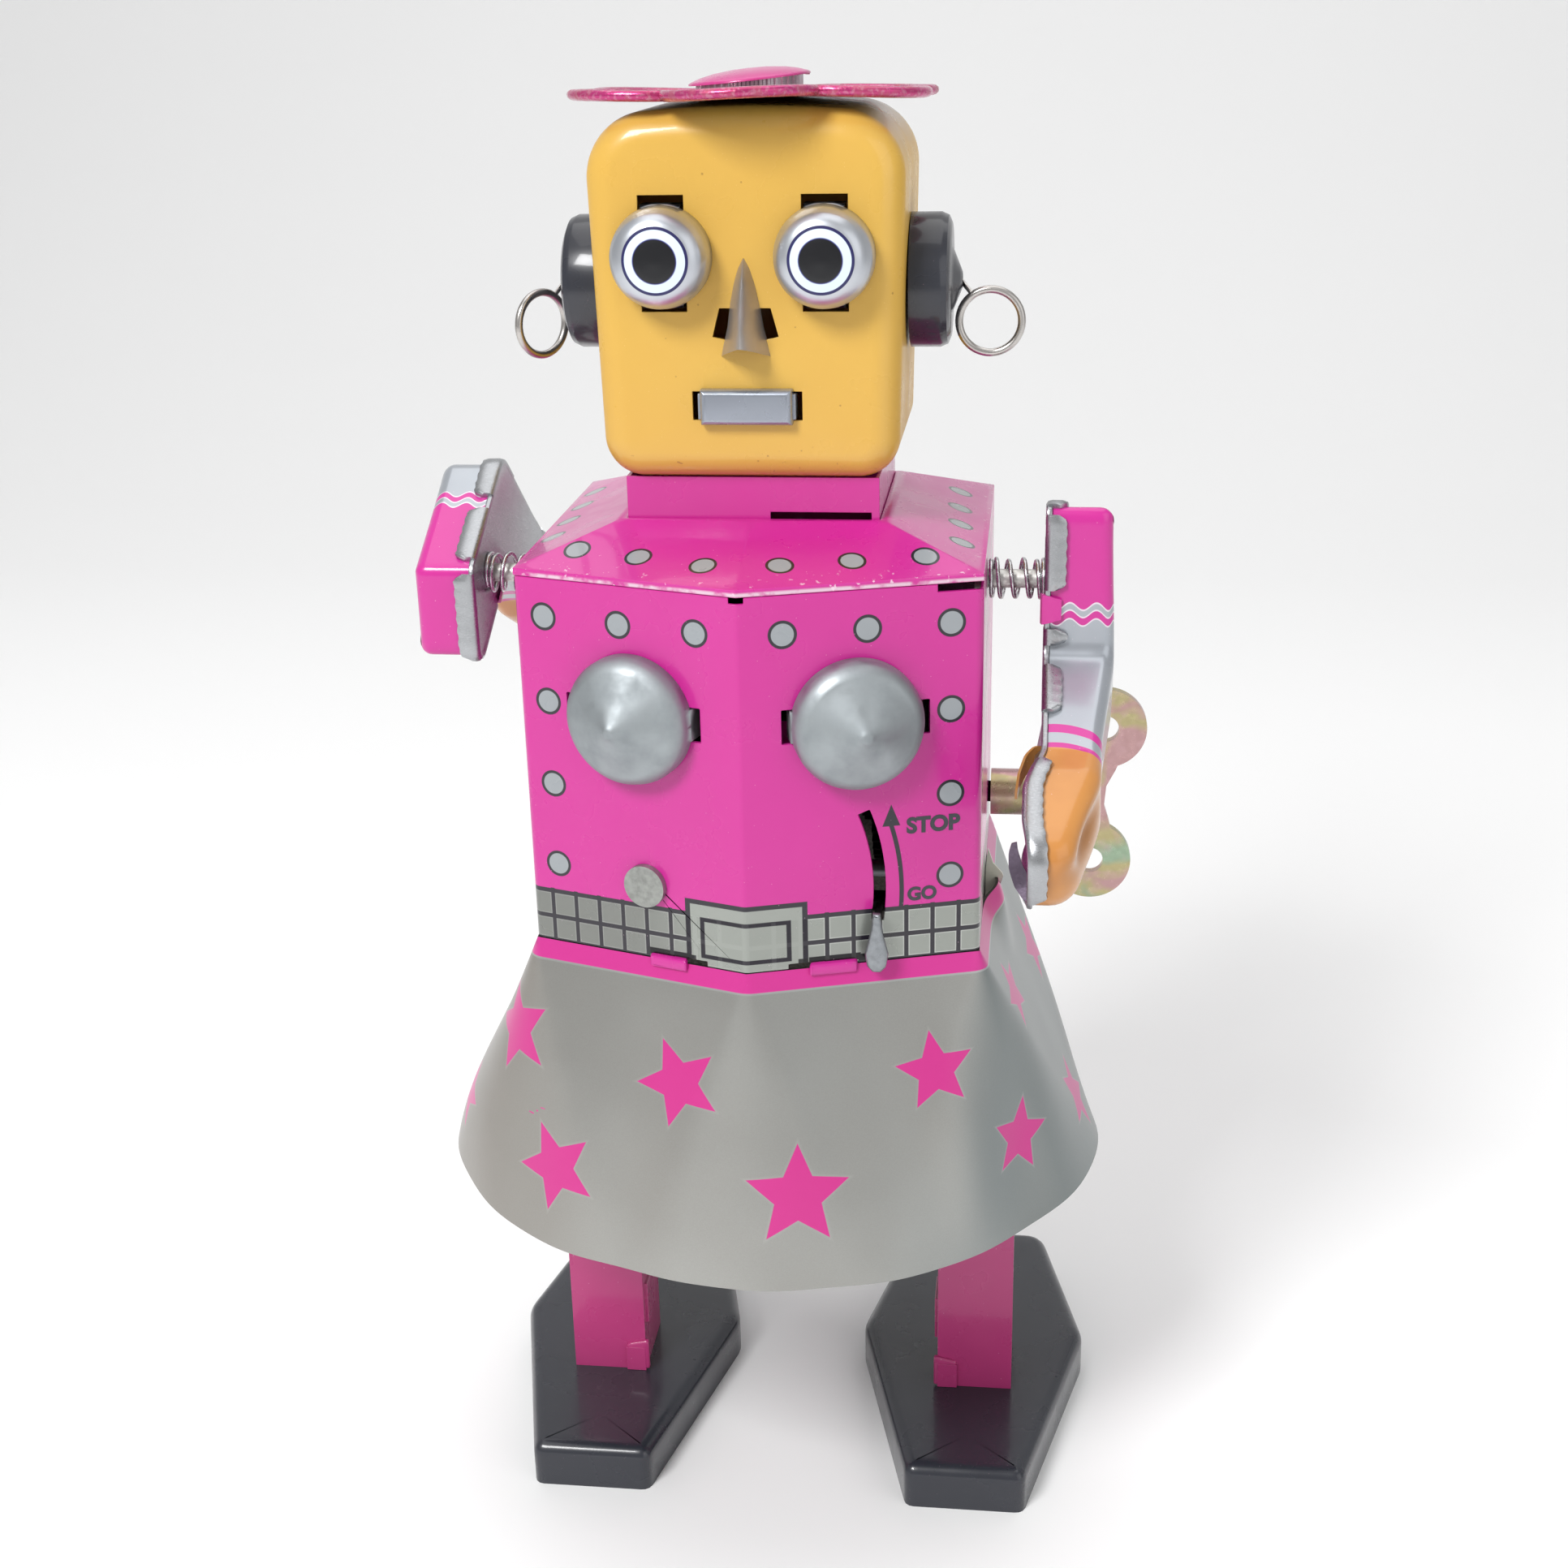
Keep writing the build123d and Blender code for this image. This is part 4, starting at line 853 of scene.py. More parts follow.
# An arm's own frame, in mm: x goes outwards from the torso's middle, y back and z up from the axle. The
# forearm slopes down by TILT towards its hand.
TILT = math.radians(23.0)
FORE = Vector((-math.cos(TILT), -math.sin(TILT)))
OVER = Vector((-math.sin(TILT), math.cos(TILT)))
ELBOW = Vector((0.0, -12.0))
ARM_HALF = 5.65
HAND_REACH = 39.0  # from the elbow to the fingertips
PLATE_X = 37.05  # where the cover meets the closing plate


def fore(along, across):
    """A point of the forearm, from the elbow."""
    return tuple(ELBOW + FORE * along + OVER * across)


def arm_loop():
    """The arm's outline, as points (y, z) in its own frame."""
    half = ARM_HALF
    inner = fore(half * (1 - math.sin(TILT)) / math.cos(TILT), half)
    outer = fore(-half * (1 - math.sin(TILT)) / math.cos(TILT), -half)
    corners = [
        (-half, 11.3), inner, fore(13.5, half * 0.94), fore(20.5, half * 0.86), fore(25, half),
        fore(HAND_REACH, half * 0.92), fore(HAND_REACH, -half * 0.92), fore(24, -half),
        fore(14, -half * 0.94), outer, (half, 5.3),
    ]
    return rounded(corners, [1.6, 2.6, 4, 4, 5, 4.4, 4.4, 5, 5, 3.5, 1.6], 0.45)


def arm_spine():
    """The middle line of the arm, with an easy curve through the elbow."""
    start, end = ELBOW + Vector((0.0, 9.5)), ELBOW + FORE * 9.5
    bend = []
    for k in range(13):
        t = k / 12
        bend.append(tuple(start * (1 - t) ** 2 + ELBOW * (2 * t * (1 - t)) + end * t * t))
    return [(0.0, 4.0)] + bend + [tuple(ELBOW + FORE * (HAND_REACH - ARM_HALF))]


def arm_place(side):
    """From an arm's own (x, y, z) about its axle to the row frame."""
    turn = RIGHT_TURN if side < 0 else 0.0

    def put(x, y, z):
        turned_y = y * math.cos(turn) - z * math.sin(turn)
        turned_z = y * math.sin(turn) + z * math.cos(turn)
        return at(side * x, SHOULDER[0] + turned_y, SHOULDER[1] + turned_z)

    return put


def arm_along(point):
    """How far along the forearm a point of the outline plane is, from the elbow."""
    return (Vector(point) - ELBOW).dot(FORE)


def arm_top(point):
    """How far out the pressed face stands at a point of the arm's outline plane."""
    along = arm_along(point)
    bulge = 0.7 * math.exp(-((along - 3) / 5.0) ** 2)
    taper = 0.9 * smoothstep(8, 20, along) + 3.0 * smoothstep(24, HAND_REACH + 1, along)
    across = (Vector(point) - ELBOW).dot(OVER)
    dish = 1.3 * math.exp(-((along - 31) / 5.5) ** 2 - ((across - 1.5) / 1.8) ** 2)
    return 44.5 + bulge - taper - dish


def arm_inner(point):
    """How far the closing plate is pushed towards the body, mostly at the hand."""
    along = arm_along(point)
    return 2.1 * smoothstep(20, 29, along) * (1 - 0.35 * smoothstep(33, HAND_REACH, along))


def arm_radius(point):
    """The radius of the cover's pressed edge, larger at the hand."""
    along = arm_along(point)
    return 1.7 + 1.5 * smoothstep(20, 30, along)


def arm_piece(name, side, rows, paint, stands_for=(), marks=None, faces=None, sharp=38):
    """A piece that rides on an arm, from rows of (x, y, z) in the arm's own frame."""
    put = arm_place(side)
    body = "arm_left" if side > 0 else "arm_right"
    points = [put(*point) for point in flat(rows)]
    faces = faces or net(rows, caps=True)
    piece(name, points, faces, [paint], body, stands_for, marks, sharp=sharp)


# The closing plate's rounded edge, as (x, how far outside the outline).
PLATE_EDGE = [(36.35, -0.3), (36.28, 0.1), (36.4, 0.42), (36.75, 0.5), (36.95, 0.42), (37.02, 0.0)]
# Middle lines of the curled tab at the palm and of the one that hangs inside the wrist.
PALM_LINE = [
    (35.6, -32.6, -30.0), (34.4, -31.8, -28.6), (33.5, -31.2, -26.6), (33.2, -31.0, -24.8),
    (33.3, -31.2, -23.6),
]
WRIST_LINE = [
    (36.7, -18.0, -17.6), (35.5, -18.2, -17.5), (34.4, -18.6, -18.4), (33.6, -18.9, -20.4),
    (33.3, -19.1, -22.4),
]
# The cover's own tab, folded down over the plate, as its top and bottom z, then (x, how far out) for its
# outer and its inner face.
COVER_TAB = [
    (-1.0, -3.6, (38.4, 0.62), (38.4, 0.2)), (-0.6, -4.0, (37.0, 0.72), (37.1, 0.3)),
    (-0.4, -4.3, (36.0, 0.5), (36.3, 0.2)), (-0.5, -4.4, (35.75, -0.6), (36.05, -0.6)),
]


def make_arm(side_name, side, paint, tin, dull):
    """The printed cover of an arm, its closing plate, the plate's folded lips, and the tabs."""
    loop = arm_loop()
    outward = normals(loop)
    pressed = pan(loop, arm_spine(), lambda p: PLATE_X - arm_inner(p), arm_top, arm_radius)
    cover = [[(height, y, z) for y, z, height in row] for row in pressed]
    faces = net(cover)
    faces.append(tuple(range(len(loop))))
    arm_piece("arm_cover_" + side_name, side, cover, paint, ["arm_shell_" + side_name],
              {"arm": flat(cover)}, faces)
    plate = []
    for x, out in PLATE_EDGE:
        row = [(x - arm_inner(p), p[0] + n.x * out, p[1] + n.y * out) for p, n in zip(loop, outward)]
        plate.append(row)
    arm_piece("arm_back_" + side_name, side, plate, tin, ["arm_plate_" + side_name])
    for number, span in enumerate(lip_spans(loop)):
        lip = lip_rows(loop, outward, *span)
        arm_piece(f"arm_lip_{side_name}_{number}", side, lip, tin, sharp=50)
    palm = strip_rows(PALM_LINE, 1.1, (0.95, 0.0, 0.3), (0, 0.16, 0))
    arm_piece("palm_tab_" + side_name, side, palm, dull)
    wrist = strip_rows(WRIST_LINE, 1.8, (0.0, OVER.x, OVER.y), (0.16, 0, 0))
    orange = {"arm": [(38.0, -30.0, -24.0)] * len(flat(wrist))}
    arm_piece("wrist_tab_" + side_name, side, wrist, paint, marks=orange)
    tab = []
    for top, bottom, (x, out), (inner_x, inner_out) in COVER_TAB:
        y, inner_y = -ARM_HALF - out, -ARM_HALF - inner_out
        tab.append([(x, y, top), (x, y, bottom), (inner_x, inner_y, bottom), (inner_x, inner_y, top)])
    pink = {"arm": [(38.0, -ARM_HALF, -0.5)] * len(flat(tab))}
    arm_piece("arm_tab_" + side_name, side, tab, paint, marks=pink)


def strip_rows(line, half, across, thick):
    """A narrow sheet tab along a line of points in the arm's own frame, half wide each way."""
    across, thick = Vector(across), Vector(thick)
    line = resample(line, 0.5, closed=False)
    rows = []
    for index, spot in enumerate(line):
        share = index / (len(line) - 1)
        middle = Vector(spot)
        wide = across * half * (1 - 0.7 * share ** 2)
        over, under = middle + thick, middle - thick
        rows.append([over - wide, over + wide, under + wide, under - wide])
    return rows


def make_spring(side_name, side, steel):
    """A bright wire coil on the arm's axle, wound a little unevenly."""
    low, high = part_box("arm_spring_" + side_name)
    ends = sorted(abs((edge + SHIFT_X) / MM) for edge in (low.x, high.x))
    wire = 0.29
    mean = (high.z - low.z) / MM / 2 - wire - 0.05
    turns = 5.6
    steps = 260
    path = []
    for k in range(steps + 1):
        share = k / steps
        eased = 0.78 * smoothstep(0.07, 0.93, share) + 0.22 * share
        x = ends[0] + wire + (ends[1] - ends[0] - 2 * wire) * eased
        angle = 2 * math.pi * turns * share
        radius = mean * (1 - 0.05 * math.sin(3.1 * angle / turns))
        y, z = SHOULDER[0] + radius * math.cos(angle), SHOULDER[1] + radius * math.sin(angle)
        path.append(Vector((x, y, z)))
    rows = []
    for k, spot in enumerate(path):
        along = (path[min(k + 1, steps)] - path[max(k - 1, 0)]).normalized()
        outward = (spot - Vector((spot.x, *SHOULDER))).normalized()
        outward = (outward - along * outward.dot(along)).normalized()
        across = along.cross(outward)
        ring = []
        for c in range(10):
            turn = 2 * math.pi * c / 10
            point = spot + (outward * math.cos(turn) + across * math.sin(turn)) * wire
            ring.append(at(side * point.x, point.y, point.z))
        rows.append(ring)
    piece("arm_coil_" + side_name, flat(rows), net(rows, caps=True), [steel], "torso",
          ["arm_spring_" + side_name])


def lip_spans(loop):
    """(start, end, width, belly) of each lip, where start and end are places along the outline."""
    def place(target):
        return min(range(len(loop)), key=lambda i: math.dist(loop[i], target))

    half = ARM_HALF
    lips = [
        ((-half + 0.5, 11.1), (half - 0.7, 5.7), 2.1, 0.0),
        ((-half, 9.6), (-half, 0.2), 2.0, 0.0),
        ((-half, -4.9), fore(1.2, half), 2.0, 0.7),
        (fore(6.5, half), fore(14.5, half), 1.7, 0.2),
        (fore(23.5, half), fore(HAND_REACH, -2.0), 1.7, 0.2),
        (fore(HAND_REACH - 3, -half), fore(20, -half), 2.2, 0.2),
        (fore(2.0, -half), (half, -8.4), 2.1, 0.1),
        ((half, -5.4), (half, 4.0), 2.2, 0.0),
    ]
    return [(place(start), place(end), width, belly) for start, end, width, belly in lips]


def lip_rows(loop, outward, start, end, width, belly):
    """A lip of the plate folded over the cover's edge, the short way round from start to end."""
    count = (end - start) % len(loop)
    step = 1
    if count > len(loop) / 2:
        count, step = (start - end) % len(loop), -1
    rows = []
    for k in range(count + 1):
        index = (start + step * k) % len(loop)
        p, n = loop[index], outward[index]
        share = k / count
        ends = min(1.0, min(share, 1 - share) * count * 0.5 + 0.25)
        reach = width * ends ** 0.5 * (1 + belly * 0.35 * math.sin(math.pi * share))
        reach += 0.08 * math.sin(k * 1.7)
        section = [
            (36.3, -0.1), (36.22, 0.35), (36.45, 0.72), (36.95, 0.86), (36.6 + reach * 0.8, 0.84),
            (36.85 + reach, 0.62), (36.9 + reach, 0.3), (36.8 + reach, -0.12),
        ]
        rows.append([(x - arm_inner(p), p[0] + n.x * out, p[1] + n.y * out) for x, out in section])
    return rows


def arm_paint():
    """Pink sleeve, two waves, silver forearm, wrist stripes and an orange hand."""
    paint = Paint("arm_print", (172, 177, 184), 0.45, 0.3, coat=0.5, coat_roughness=0.07)
    x, y, z = paint.split(paint.attribute("arm").outputs["Vector"])
    paint.mix(paint.noise(0.08, 3.0).over(0.35, 0.7) * 0.3, (140, 146, 154))
    wave = ((x + y) * (2 * math.pi / 3.3)).math("SINE") * 0.48
    down = z * -1 - (y + ARM_HALF) * 0.42
    sleeve = down - 1.9 + wave
    line = abs(down - 3.5 + wave) - 0.46
    # How far along the forearm, less a little towards its edges, so that the stripes are curved.
    edge = (x - 37.9) / 5.8
    along = y * FORE.x + (z - ELBOW.y) * FORE.y - edge * edge * 2.0
    first = abs(along - 17.0) - 0.7
    second = abs(along - 19.8) - 0.42
    hand = (along * -1 + 20.2).inside()
    pink = sleeve.inside().most(line.inside().most(first.inside()).most(second.inside()))
    paint.mix((sleeve - 0.22).inside(0.04).most((line - 0.2).inside(0.04)) * 0.8, (236, 222, 232))
    paint.mix(pink, PINK)
    paint.mix(hand, ORANGE)
    paint.mix(hand * paint.noise(0.12, 3.0).over(0.4, 0.7) * 0.5, (176, 110, 50))
    # The shaded hollow in the back of the hand.
    over = (y * OVER.x + (z - ELBOW.y) * OVER.y - 1.2) * 2.6
    past = along - 30.5
    hollow = (over * over + past * past).math("SQRT") - 6.0
    paint.mix(hand * hollow.inside(3.5) * 0.55, (150, 96, 44))
    paint.drive("Metallic", pink.most(hand), 0.55, 0.0)
    paint.specks(0.9, 0.07, 0.02, 0.3, (250, 225, 240))
    paint.bump(paint.noise(0.12, 2.0), 0.14)
    return paint


# ---- hat ----


HAT_Y = 21.5
HAT_TIP = math.radians(5.0)
BUTTON_X = -0.9


def petal_reach(angle):
    """How far the flower's outline is from its middle, in a direction measured from the front petal."""
    sixth = math.pi / 3
    off = abs((angle + sixth / 2) % sixth - sixth / 2)
    reach = 14.6 * math.cos(off) + math.sqrt(9.2 ** 2 - (14.6 * math.sin(off)) ** 2)
    return reach + 0.35 * smoothstep(0.36, 0.52, off)


def make_flower(worn, tin):
    """The hat's flower-shaped sheet with its rolled rim."""
    count = 300
    rolls = [
        # how far in from the outline, and the height
        (12.0, 197.0), (6.0, 197.0), (2.2, 197.0), (1.4, 196.95), (0.8, 196.85), (0.35, 197.0),
        (0.08, 197.25), (0.0, 197.55), (0.1, 197.85), (0.4, 198.08), (0.85, 198.15), (1.3, 198.0),
        (1.7, 197.7), (3.0, 197.5), (8.0, 197.5), (12.0, 197.5),
    ]
    rows = []
    for inset, z in rolls:
        row = []
        for k in range(count):
            angle = 2 * math.pi * k / count
            reach = petal_reach(angle) - inset
            if inset > 3:
                reach = max(0.4, (16 - inset) * 1.1)
            wave = 0.16 * math.sin(3 * angle + 0.5) + 0.1 * math.sin(5 * angle)
            wave *= smoothstep(8, 20, reach)
            x, y = reach * math.sin(angle), -reach * math.cos(angle)
            row.append(at(x, HAT_Y + y, z + wave - y * 0.036 - 0.1))
        rows.append(row)
    piece("hat_flower", flat(rows), net(rows, caps=True), [worn, tin], "torso", ["hat_petals"],
          inner=lambda index: 1 if index < 2 * count else 0, sharp=70)


def make_dome(pink):
    """The hat's domed button, creased, and tipped so that the ribbed collar shows at its right."""
    profile = [
        # radius and height
        (0.0, 1.1), (2.2, 1.04), (4.4, 0.82), (6.0, 0.5), (7.1, 0.14), (7.5, -0.06), (7.5, -0.24),
        (7.1, -0.22), (5.6, 0.1), (3.0, 0.4), (0.0, 0.6),
    ]
    rows = []
    for radius, z in profile:
        row = []
        for k in range(96):
            angle = 2 * math.pi * k / 96
            x = radius * math.cos(angle)
            crease = 0.25 * math.exp(-((angle - 0.35) / 0.12) ** 2) * (radius / 7.5) ** 3
            height = 199.15 + z - crease + x * math.sin(HAT_TIP)
            row.append(at(BUTTON_X + x * math.cos(HAT_TIP), HAT_Y + radius * math.sin(angle), height))
        rows.append(row)
    piece("hat_dome", flat(rows), net(rows), [pink], "torso", ["hat_button"], sharp=70)


def make_collar(tin):
    """The ribbed collar under the hat's button."""
    rows = []
    for radius, z in ((5.7, 197.3), (6.35, 197.3), (6.35, 199.0), (5.7, 199.0)):
        row = []
        for k in range(240):
            angle = 2 * math.pi * k / 240
            rib = 0.22 if k % 6 < 3 and radius > 6 else 0.0
            x, y = (radius + rib) * math.cos(angle), (radius + rib) * math.sin(angle)
            tilt = x * math.sin(HAT_TIP) if z > 198 else 0.0
            row.append(at(BUTTON_X + x, HAT_Y + y, z + tilt))
        rows.append(row)
    rows.append(rows[0])
    piece("hat_ribbed_collar", flat(rows), net(rows), [tin], "torso", ["hat_collar"])


def worn_paint():
    """Pink lacquer worn through to brassy metal along the hat's rolled rim."""
    paint = Paint("worn_rim", (190, 52, 124), 0.5, 0.3, coat=0.4, coat_roughness=0.1)
    wear = paint.noise(0.5, 5.0, distortion=0.4).over(0.5, 0.62)
    fine = paint.noise(2.2, 4.0).over(0.52, 0.6)
    paint.mix(paint.noise(0.15, 2.0).over(0.3, 0.7) * 0.6, (170, 44, 84))
    paint.mix(wear * 0.4, (168, 104, 96))
    paint.mix(fine * 0.3, (206, 160, 176))
    paint.drive("Roughness", wear, 0.24, 0.5)
    paint.bump(paint.noise(1.2, 3.0), 0.05)
    return paint


# ---- face ----


EYE_X, EYE_Z = 9.7, 179.7


def eye_paint(side):
    """A silver eye with a dark rim round it and a printed pupil; past its edge, over its tabs, it is painted
    near-black as shade.
    """
    paint = Paint(f"eye_print_{side}", (196, 200, 206), 0.9, 0.36, coat=0.25, coat_roughness=0.12)
    x, _, z = paint.layout()
    radius = disc_distance(x, z, side * EYE_X, EYE_Z, 0)
    print_edge = (radius - 3.95).inside()
    paint.mix(paint.noise(0.3, 3.0).over(0.4, 0.7) * 0.2, (170, 176, 190))
    # Painted shade: near-black past the eye's edge, over its tabs.
    paint.mix((radius * -1 + 6.05).inside(0.1), (16, 15, 18))
    paint.mix(print_edge, (34, 32, 84))
    paint.mix((radius - 3.6).inside(), (214, 228, 248))
    paint.mix((radius - 2.62).inside(0.06), (44, 42, 110))
    paint.mix((radius - 2.5).inside(), (9, 10, 16))
    paint.drive("Metallic", print_edge, 0.9, 0.0)
    paint.bump(paint.noise(0.3, 1.0), 0.01)
    return paint


# The nose from its base to its top, as (share of its height, mm): half its width, and how far it stands out.
NOSE_WIDTH = [(0.0, 3.0), (0.1, 2.75), (0.3, 2.15), (0.55, 1.75), (0.75, 1.25), (0.9, 0.7), (1.0, 0.08)]
NOSE_DEPTH = [(0.0, 5.5), (0.3, 5.0), (0.55, 4.0), (0.8, 2.3), (1.0, 0.3)]


def along_table(table, share):
    """The value at share in a short table of (share, value), straight between its rows."""
    for (low, first), (high, second) in zip(table, table[1:]):
        if share <= high:
            return first + (second - first) * (share - low) / (high - low)
    return table[-1][1]


def make_nose(polished):
    """A folded sheet nose: a sharp top, a rounded ridge and a base that flares."""
    rows = []
    low_z, high_z = 167.9, 179.4
    steps = 44
    for k in range(steps + 1):
        up = k / steps
        half = along_table(NOSE_WIDTH, up)
        depth = along_table(NOSE_DEPTH, up)
        row = []
        for c in range(-12, 13):
            share = c / 12
            bulge = 1 - abs(share) ** 1.35
            lift = 1.7 * bulge * (1 - up) ** 3
            row.append(at(half * share, 5.75 - depth * bulge, low_z + (high_z - low_z) * up + lift))
        rows.append(row)
    back = [[Vector((p.x, p.y + SHEET * MM, p.z)) for p in reversed(row)] for row in rows]
    ring = [a + b for a, b in zip(rows, back)]
    piece("nose_sheet", flat(ring), net(ring, caps=True), [polished], "torso", ["nose"],
          sharp=50)


def make_drop(steel):
    """The pressed, dull drop at the outer end of the stop lever."""
    low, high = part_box("stop_lever")
    x = (high.x + SHIFT_X) / MM - 1.35
    top = low.z / MM + 8.1
    right = [(0.45, 0.0), (0.62, -2.0), (1.1, -4.0), (1.5, -5.6), (1.2, -7.3), (0.5, -8.1)]
    outline = right + [(-u, v) for u, v in reversed(right)]
    loop = resample([(x + u, top + v) for u, v in outline], 0.3)
    outward = normals(loop)
    rows = []
    for inset, forward in ((0.0, -0.15), (0.0, 0.18), (0.1, 0.36), (0.22, 0.48), (0.36, 0.54)):
        y = -6.15 - forward
        rows.append([at(p[0] - n.x * inset, y, p[1] - n.y * inset) for p, n in zip(loop, outward)])
    piece("lever_drop", flat(rows), net(rows, caps=True), [steel], "stop_lever")


def make_word(text, x, z, width, ink):
    """A printed word on the left half of the chest, as a film of ink."""
    curve = bpy.data.curves.new("word_" + text, "FONT")
    curve.body = text
    curve.offset = 0.045
    curve.extrude = 0.006
    curve.resolution_u = 5
    holder = bpy.data.objects.new("word_" + text, curve)
    bpy.context.scene.collection.objects.link(holder)
    graph = bpy.context.evaluated_depsgraph_get()
    graph.update()
    mesh = bpy.data.meshes.new_from_object(holder.evaluated_get(graph))
    bpy.data.objects.remove(holder)
    left = min(vertex.co.x for vertex in mesh.vertices)
    right = max(vertex.co.x for vertex in mesh.vertices)
    scale = width / (right - left)
    along = Vector((TORSO_HALF, PROW)).normalized()
    outward = Vector((along.y, -along.x))
    start = Vector((x, facet_y(x)))
    points = []
    for vertex in mesh.vertices:
        spot = start + along * ((vertex.co.x - left) * scale) + outward * (0.03 + vertex.co.z * scale)
        points.append(at(spot.x, spot.y, z + vertex.co.y * scale))
    faces = [tuple(face.vertices) for face in mesh.polygons]
    piece("print_" + text.lower(), points, faces, [ink], "torso")


# ---- feet ----


FOOT_X = 27.7


def make_foot(side_name, side, black):
    """The pressed black cover of a foot, with its lower edge turned in."""
    middle = side * FOOT_X
    corners = [(-8.6, 5.0), (8.6, 5.0), (17.6, 40.0), (11.0, 68.0), (-11.0, 68.0), (-17.6, 40.0)]
    loop = rounded([(x + middle, y) for x, y in corners], [1.6, 1.6, 7.0, 4.0, 4.0, 7.0], 0.7)
    outward = normals(loop)
    spine = [(middle, 13.0), (middle, 58.0)]
    turned = 0.7
    rows = []
    for z in (3.0, 0.0):
        rows.append([(p[0] - n.x * turned, p[1] - n.y * turned, z) for p, n in zip(loop, outward)])
    rows += pan(loop, spine, lambda p: 0.0, lambda p: 6.9, lambda p: 1.9, fill=5, walls=3)
    piece("foot_cover_" + side_name, [at(*point) for point in flat(rows)], net(rows), [black],
          "leg_" + side_name, ["foot_shell_" + side_name], sharp=60)


# ---- stage ----


def make_floor():
    """A pale floor that curves up behind."""
    profile = [(-1.6, 0), (0.5, 0)]
    for k in range(1, 13):
        angle = k * math.pi / 24
        profile.append((0.5 + 0.6 * math.sin(angle), 0.6 - 0.6 * math.cos(angle)))
    profile.append((1.1, 2.2))
    rows = [[(x, y, z) for x in (-2.5, 2.5)] for y, z in profile]
    mesh = bpy.data.meshes.new("floor")
    mesh.from_pydata(flat(rows), [], net(rows, closed=False))
    mesh.shade_smooth()
    pale = Paint("pale_floor", (246, 246, 246), 0.0, 0.6)
    pale.mix(pale.noise(0.004, 2.0).over(0.3, 0.7) * 0.2, (243, 243, 243))
    mesh.materials.append(pale.material)
    floor = bpy.data.objects.new("floor", mesh)
    bpy.context.scene.collection.objects.link(floor)


def area(name, place, target, size, power):
    """A square white light at a place, aimed at a target; metres and watts."""
    light = bpy.data.lights.new(name, "AREA")
    light.shape = "RECTANGLE"
    light.size, light.size_y = size, size
    light.energy = power
    holder = bpy.data.objects.new(name, light)
    holder.location = place
    holder.rotation_euler = (Vector(target) - Vector(place)).to_track_quat("-Z", "Y").to_euler()
    bpy.context.scene.collection.objects.link(holder)


def make_lights():
    """Three soft lights in a pale room, and plain colours in the picture."""
    area("key", (-0.34, -0.62, 0.76), (0, 0, 0.14), 0.28, 7.2)
    area("fill", (0.75, -0.55, 0.45), (0, 0, 0.1), 0.8, 1.8)
    area("top", (0.0, 0.15, 0.95), (0, 0, 0.1), 0.9, 3.4)
    world = bpy.data.worlds.new("studio")
    world.use_nodes = True
    back = world.node_tree.nodes["Background"]
    back.inputs["Color"].default_value = (1, 1, 1, 1)
    back.inputs["Strength"].default_value = 0.44
    bpy.context.scene.world = world
    bpy.context.scene.view_settings.view_transform = "Standard"


def make_camera():
    """The camera, set to the photograph's viewing angle."""
    yaw, pitch, roll = math.radians(6.748), math.radians(20.382), math.radians(-1.080)
    forward = Vector((-math.sin(yaw) * math.cos(pitch), math.cos(yaw) * math.cos(pitch), -math.sin(pitch)))
    level = Vector((math.cos(yaw), math.sin(yaw), 0))
    upward = level.cross(forward)
    right = level * math.cos(roll) + upward * math.sin(roll)
    up = upward * math.cos(roll) - level * math.sin(roll)
    data = bpy.data.cameras.new("camera")
    data.sensor_width = 36.0
    data.lens = 47.285
    data.shift_x = -0.0129
    data.shift_y = -0.0145
    data.clip_start = 0.01
    holder = bpy.data.objects.new("camera", data)
    turn = Matrix((right, up, -forward)).transposed()
    holder.matrix_world = Matrix.Translation(at(35.228, -240.401, 208.312)) @ turn.to_4x4()
    bpy.context.scene.collection.objects.link(holder)
    bpy.context.scene.camera = holder


# ---- the scene ----

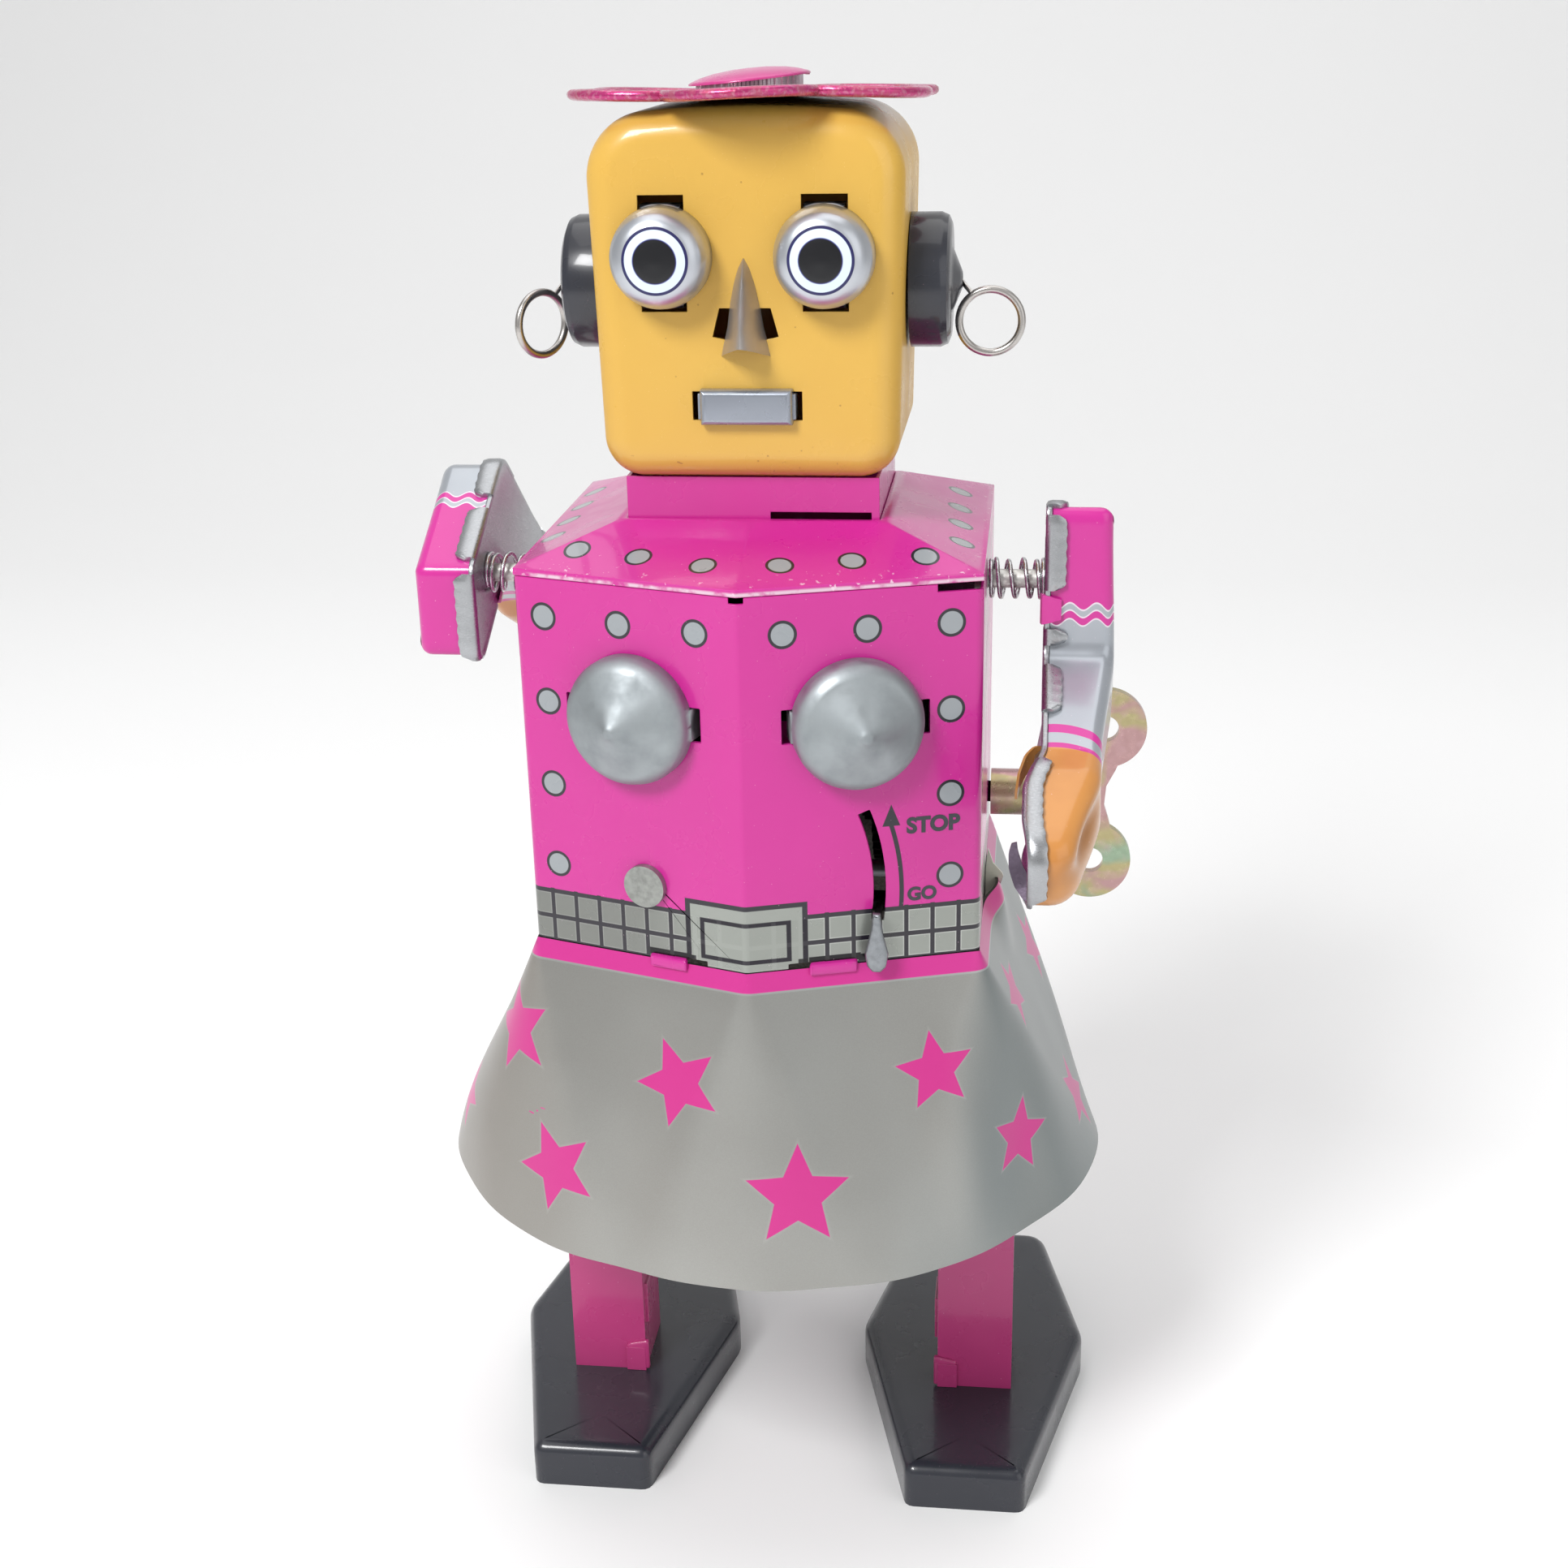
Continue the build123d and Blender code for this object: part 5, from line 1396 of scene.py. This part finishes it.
materials = part_materials()
axle = bare_metal("axle_steel", (222, 220, 216), 0.45)
special = {
    "torso_front_shell": torso_paint(), "shoulder_cap": cap_paint(), "head_face_shell": face_paint(),
    "head_back_shell": face_paint(), "stop_lever": lever_paint(),
    "lever_rivet": bare_metal("rivet_tin", (166, 168, 164), 0.5, scale=1.4, depth=0.02),
    "motor_pillars": materials["gear_steel"], "mainspring": materials["gear_steel"],
    "eye_left": eye_paint(1), "eye_right": eye_paint(-1), "arm_axle_left": axle, "arm_axle_right": axle,
    "leg_shell_left": lacquered("leg_pink", (184, 58, 120), dust=0.08),
}
special["leg_shell_right"] = special["leg_shell_left"]
ROUND = (
    "eye_left", "eye_right", "chest_cap_left", "chest_cap_right", "earring_left", "earring_right",
    "arm_spring_left", "arm_spring_right",
)
EDGE = 0.12
for name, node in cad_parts.items():
    given = node.material_slots[0].material.name.split(".")[0]
    dress(node, special.get(name, materials[given]), 0 if name in ROUND else EDGE)

skirt_print = skirt_paint()
arm_print = arm_paint()
worn = worn_paint()
# Painted shade: the palm tab's tin is darker than the plate's, for its shadowed hollow.
palm_shaded_tin = bare_metal("palm_shaded_tin", (112, 100, 116), 0.35)
# Painted shade: the skirt's inside is dark, dull metal.
make_skirt(skirt_print, bare_metal("skirt_inside_shaded", (84, 82, 78), 0.6))
make_flap(lacquered("torn_tin", (206, 205, 190)))
make_tabs(materials["pink_tin"], special["leg_shell_left"])
make_drop(bare_metal("drop_steel", (150, 154, 158), 0.4, scale=1.6, depth=0.05))
make_word("STOP", 19.8, 110.2, 6.9, materials["black_tin"])
make_word("GO", 19.9, 101.0, 3.8, materials["black_tin"])
make_flower(worn, materials["bright_tin"])
make_dome(lacquered("button_pink", (192, 58, 132)))
make_collar(materials["bright_tin"])
make_nose(nose_paint())
for side_name, side in SIDES:
    make_arm(side_name, side, arm_print, materials["bright_tin"], palm_shaded_tin)
    make_spring(side_name, side, materials["spring_steel"])
    make_foot(side_name, side, materials["black_tin"])

make_floor()
make_lights()
make_camera()
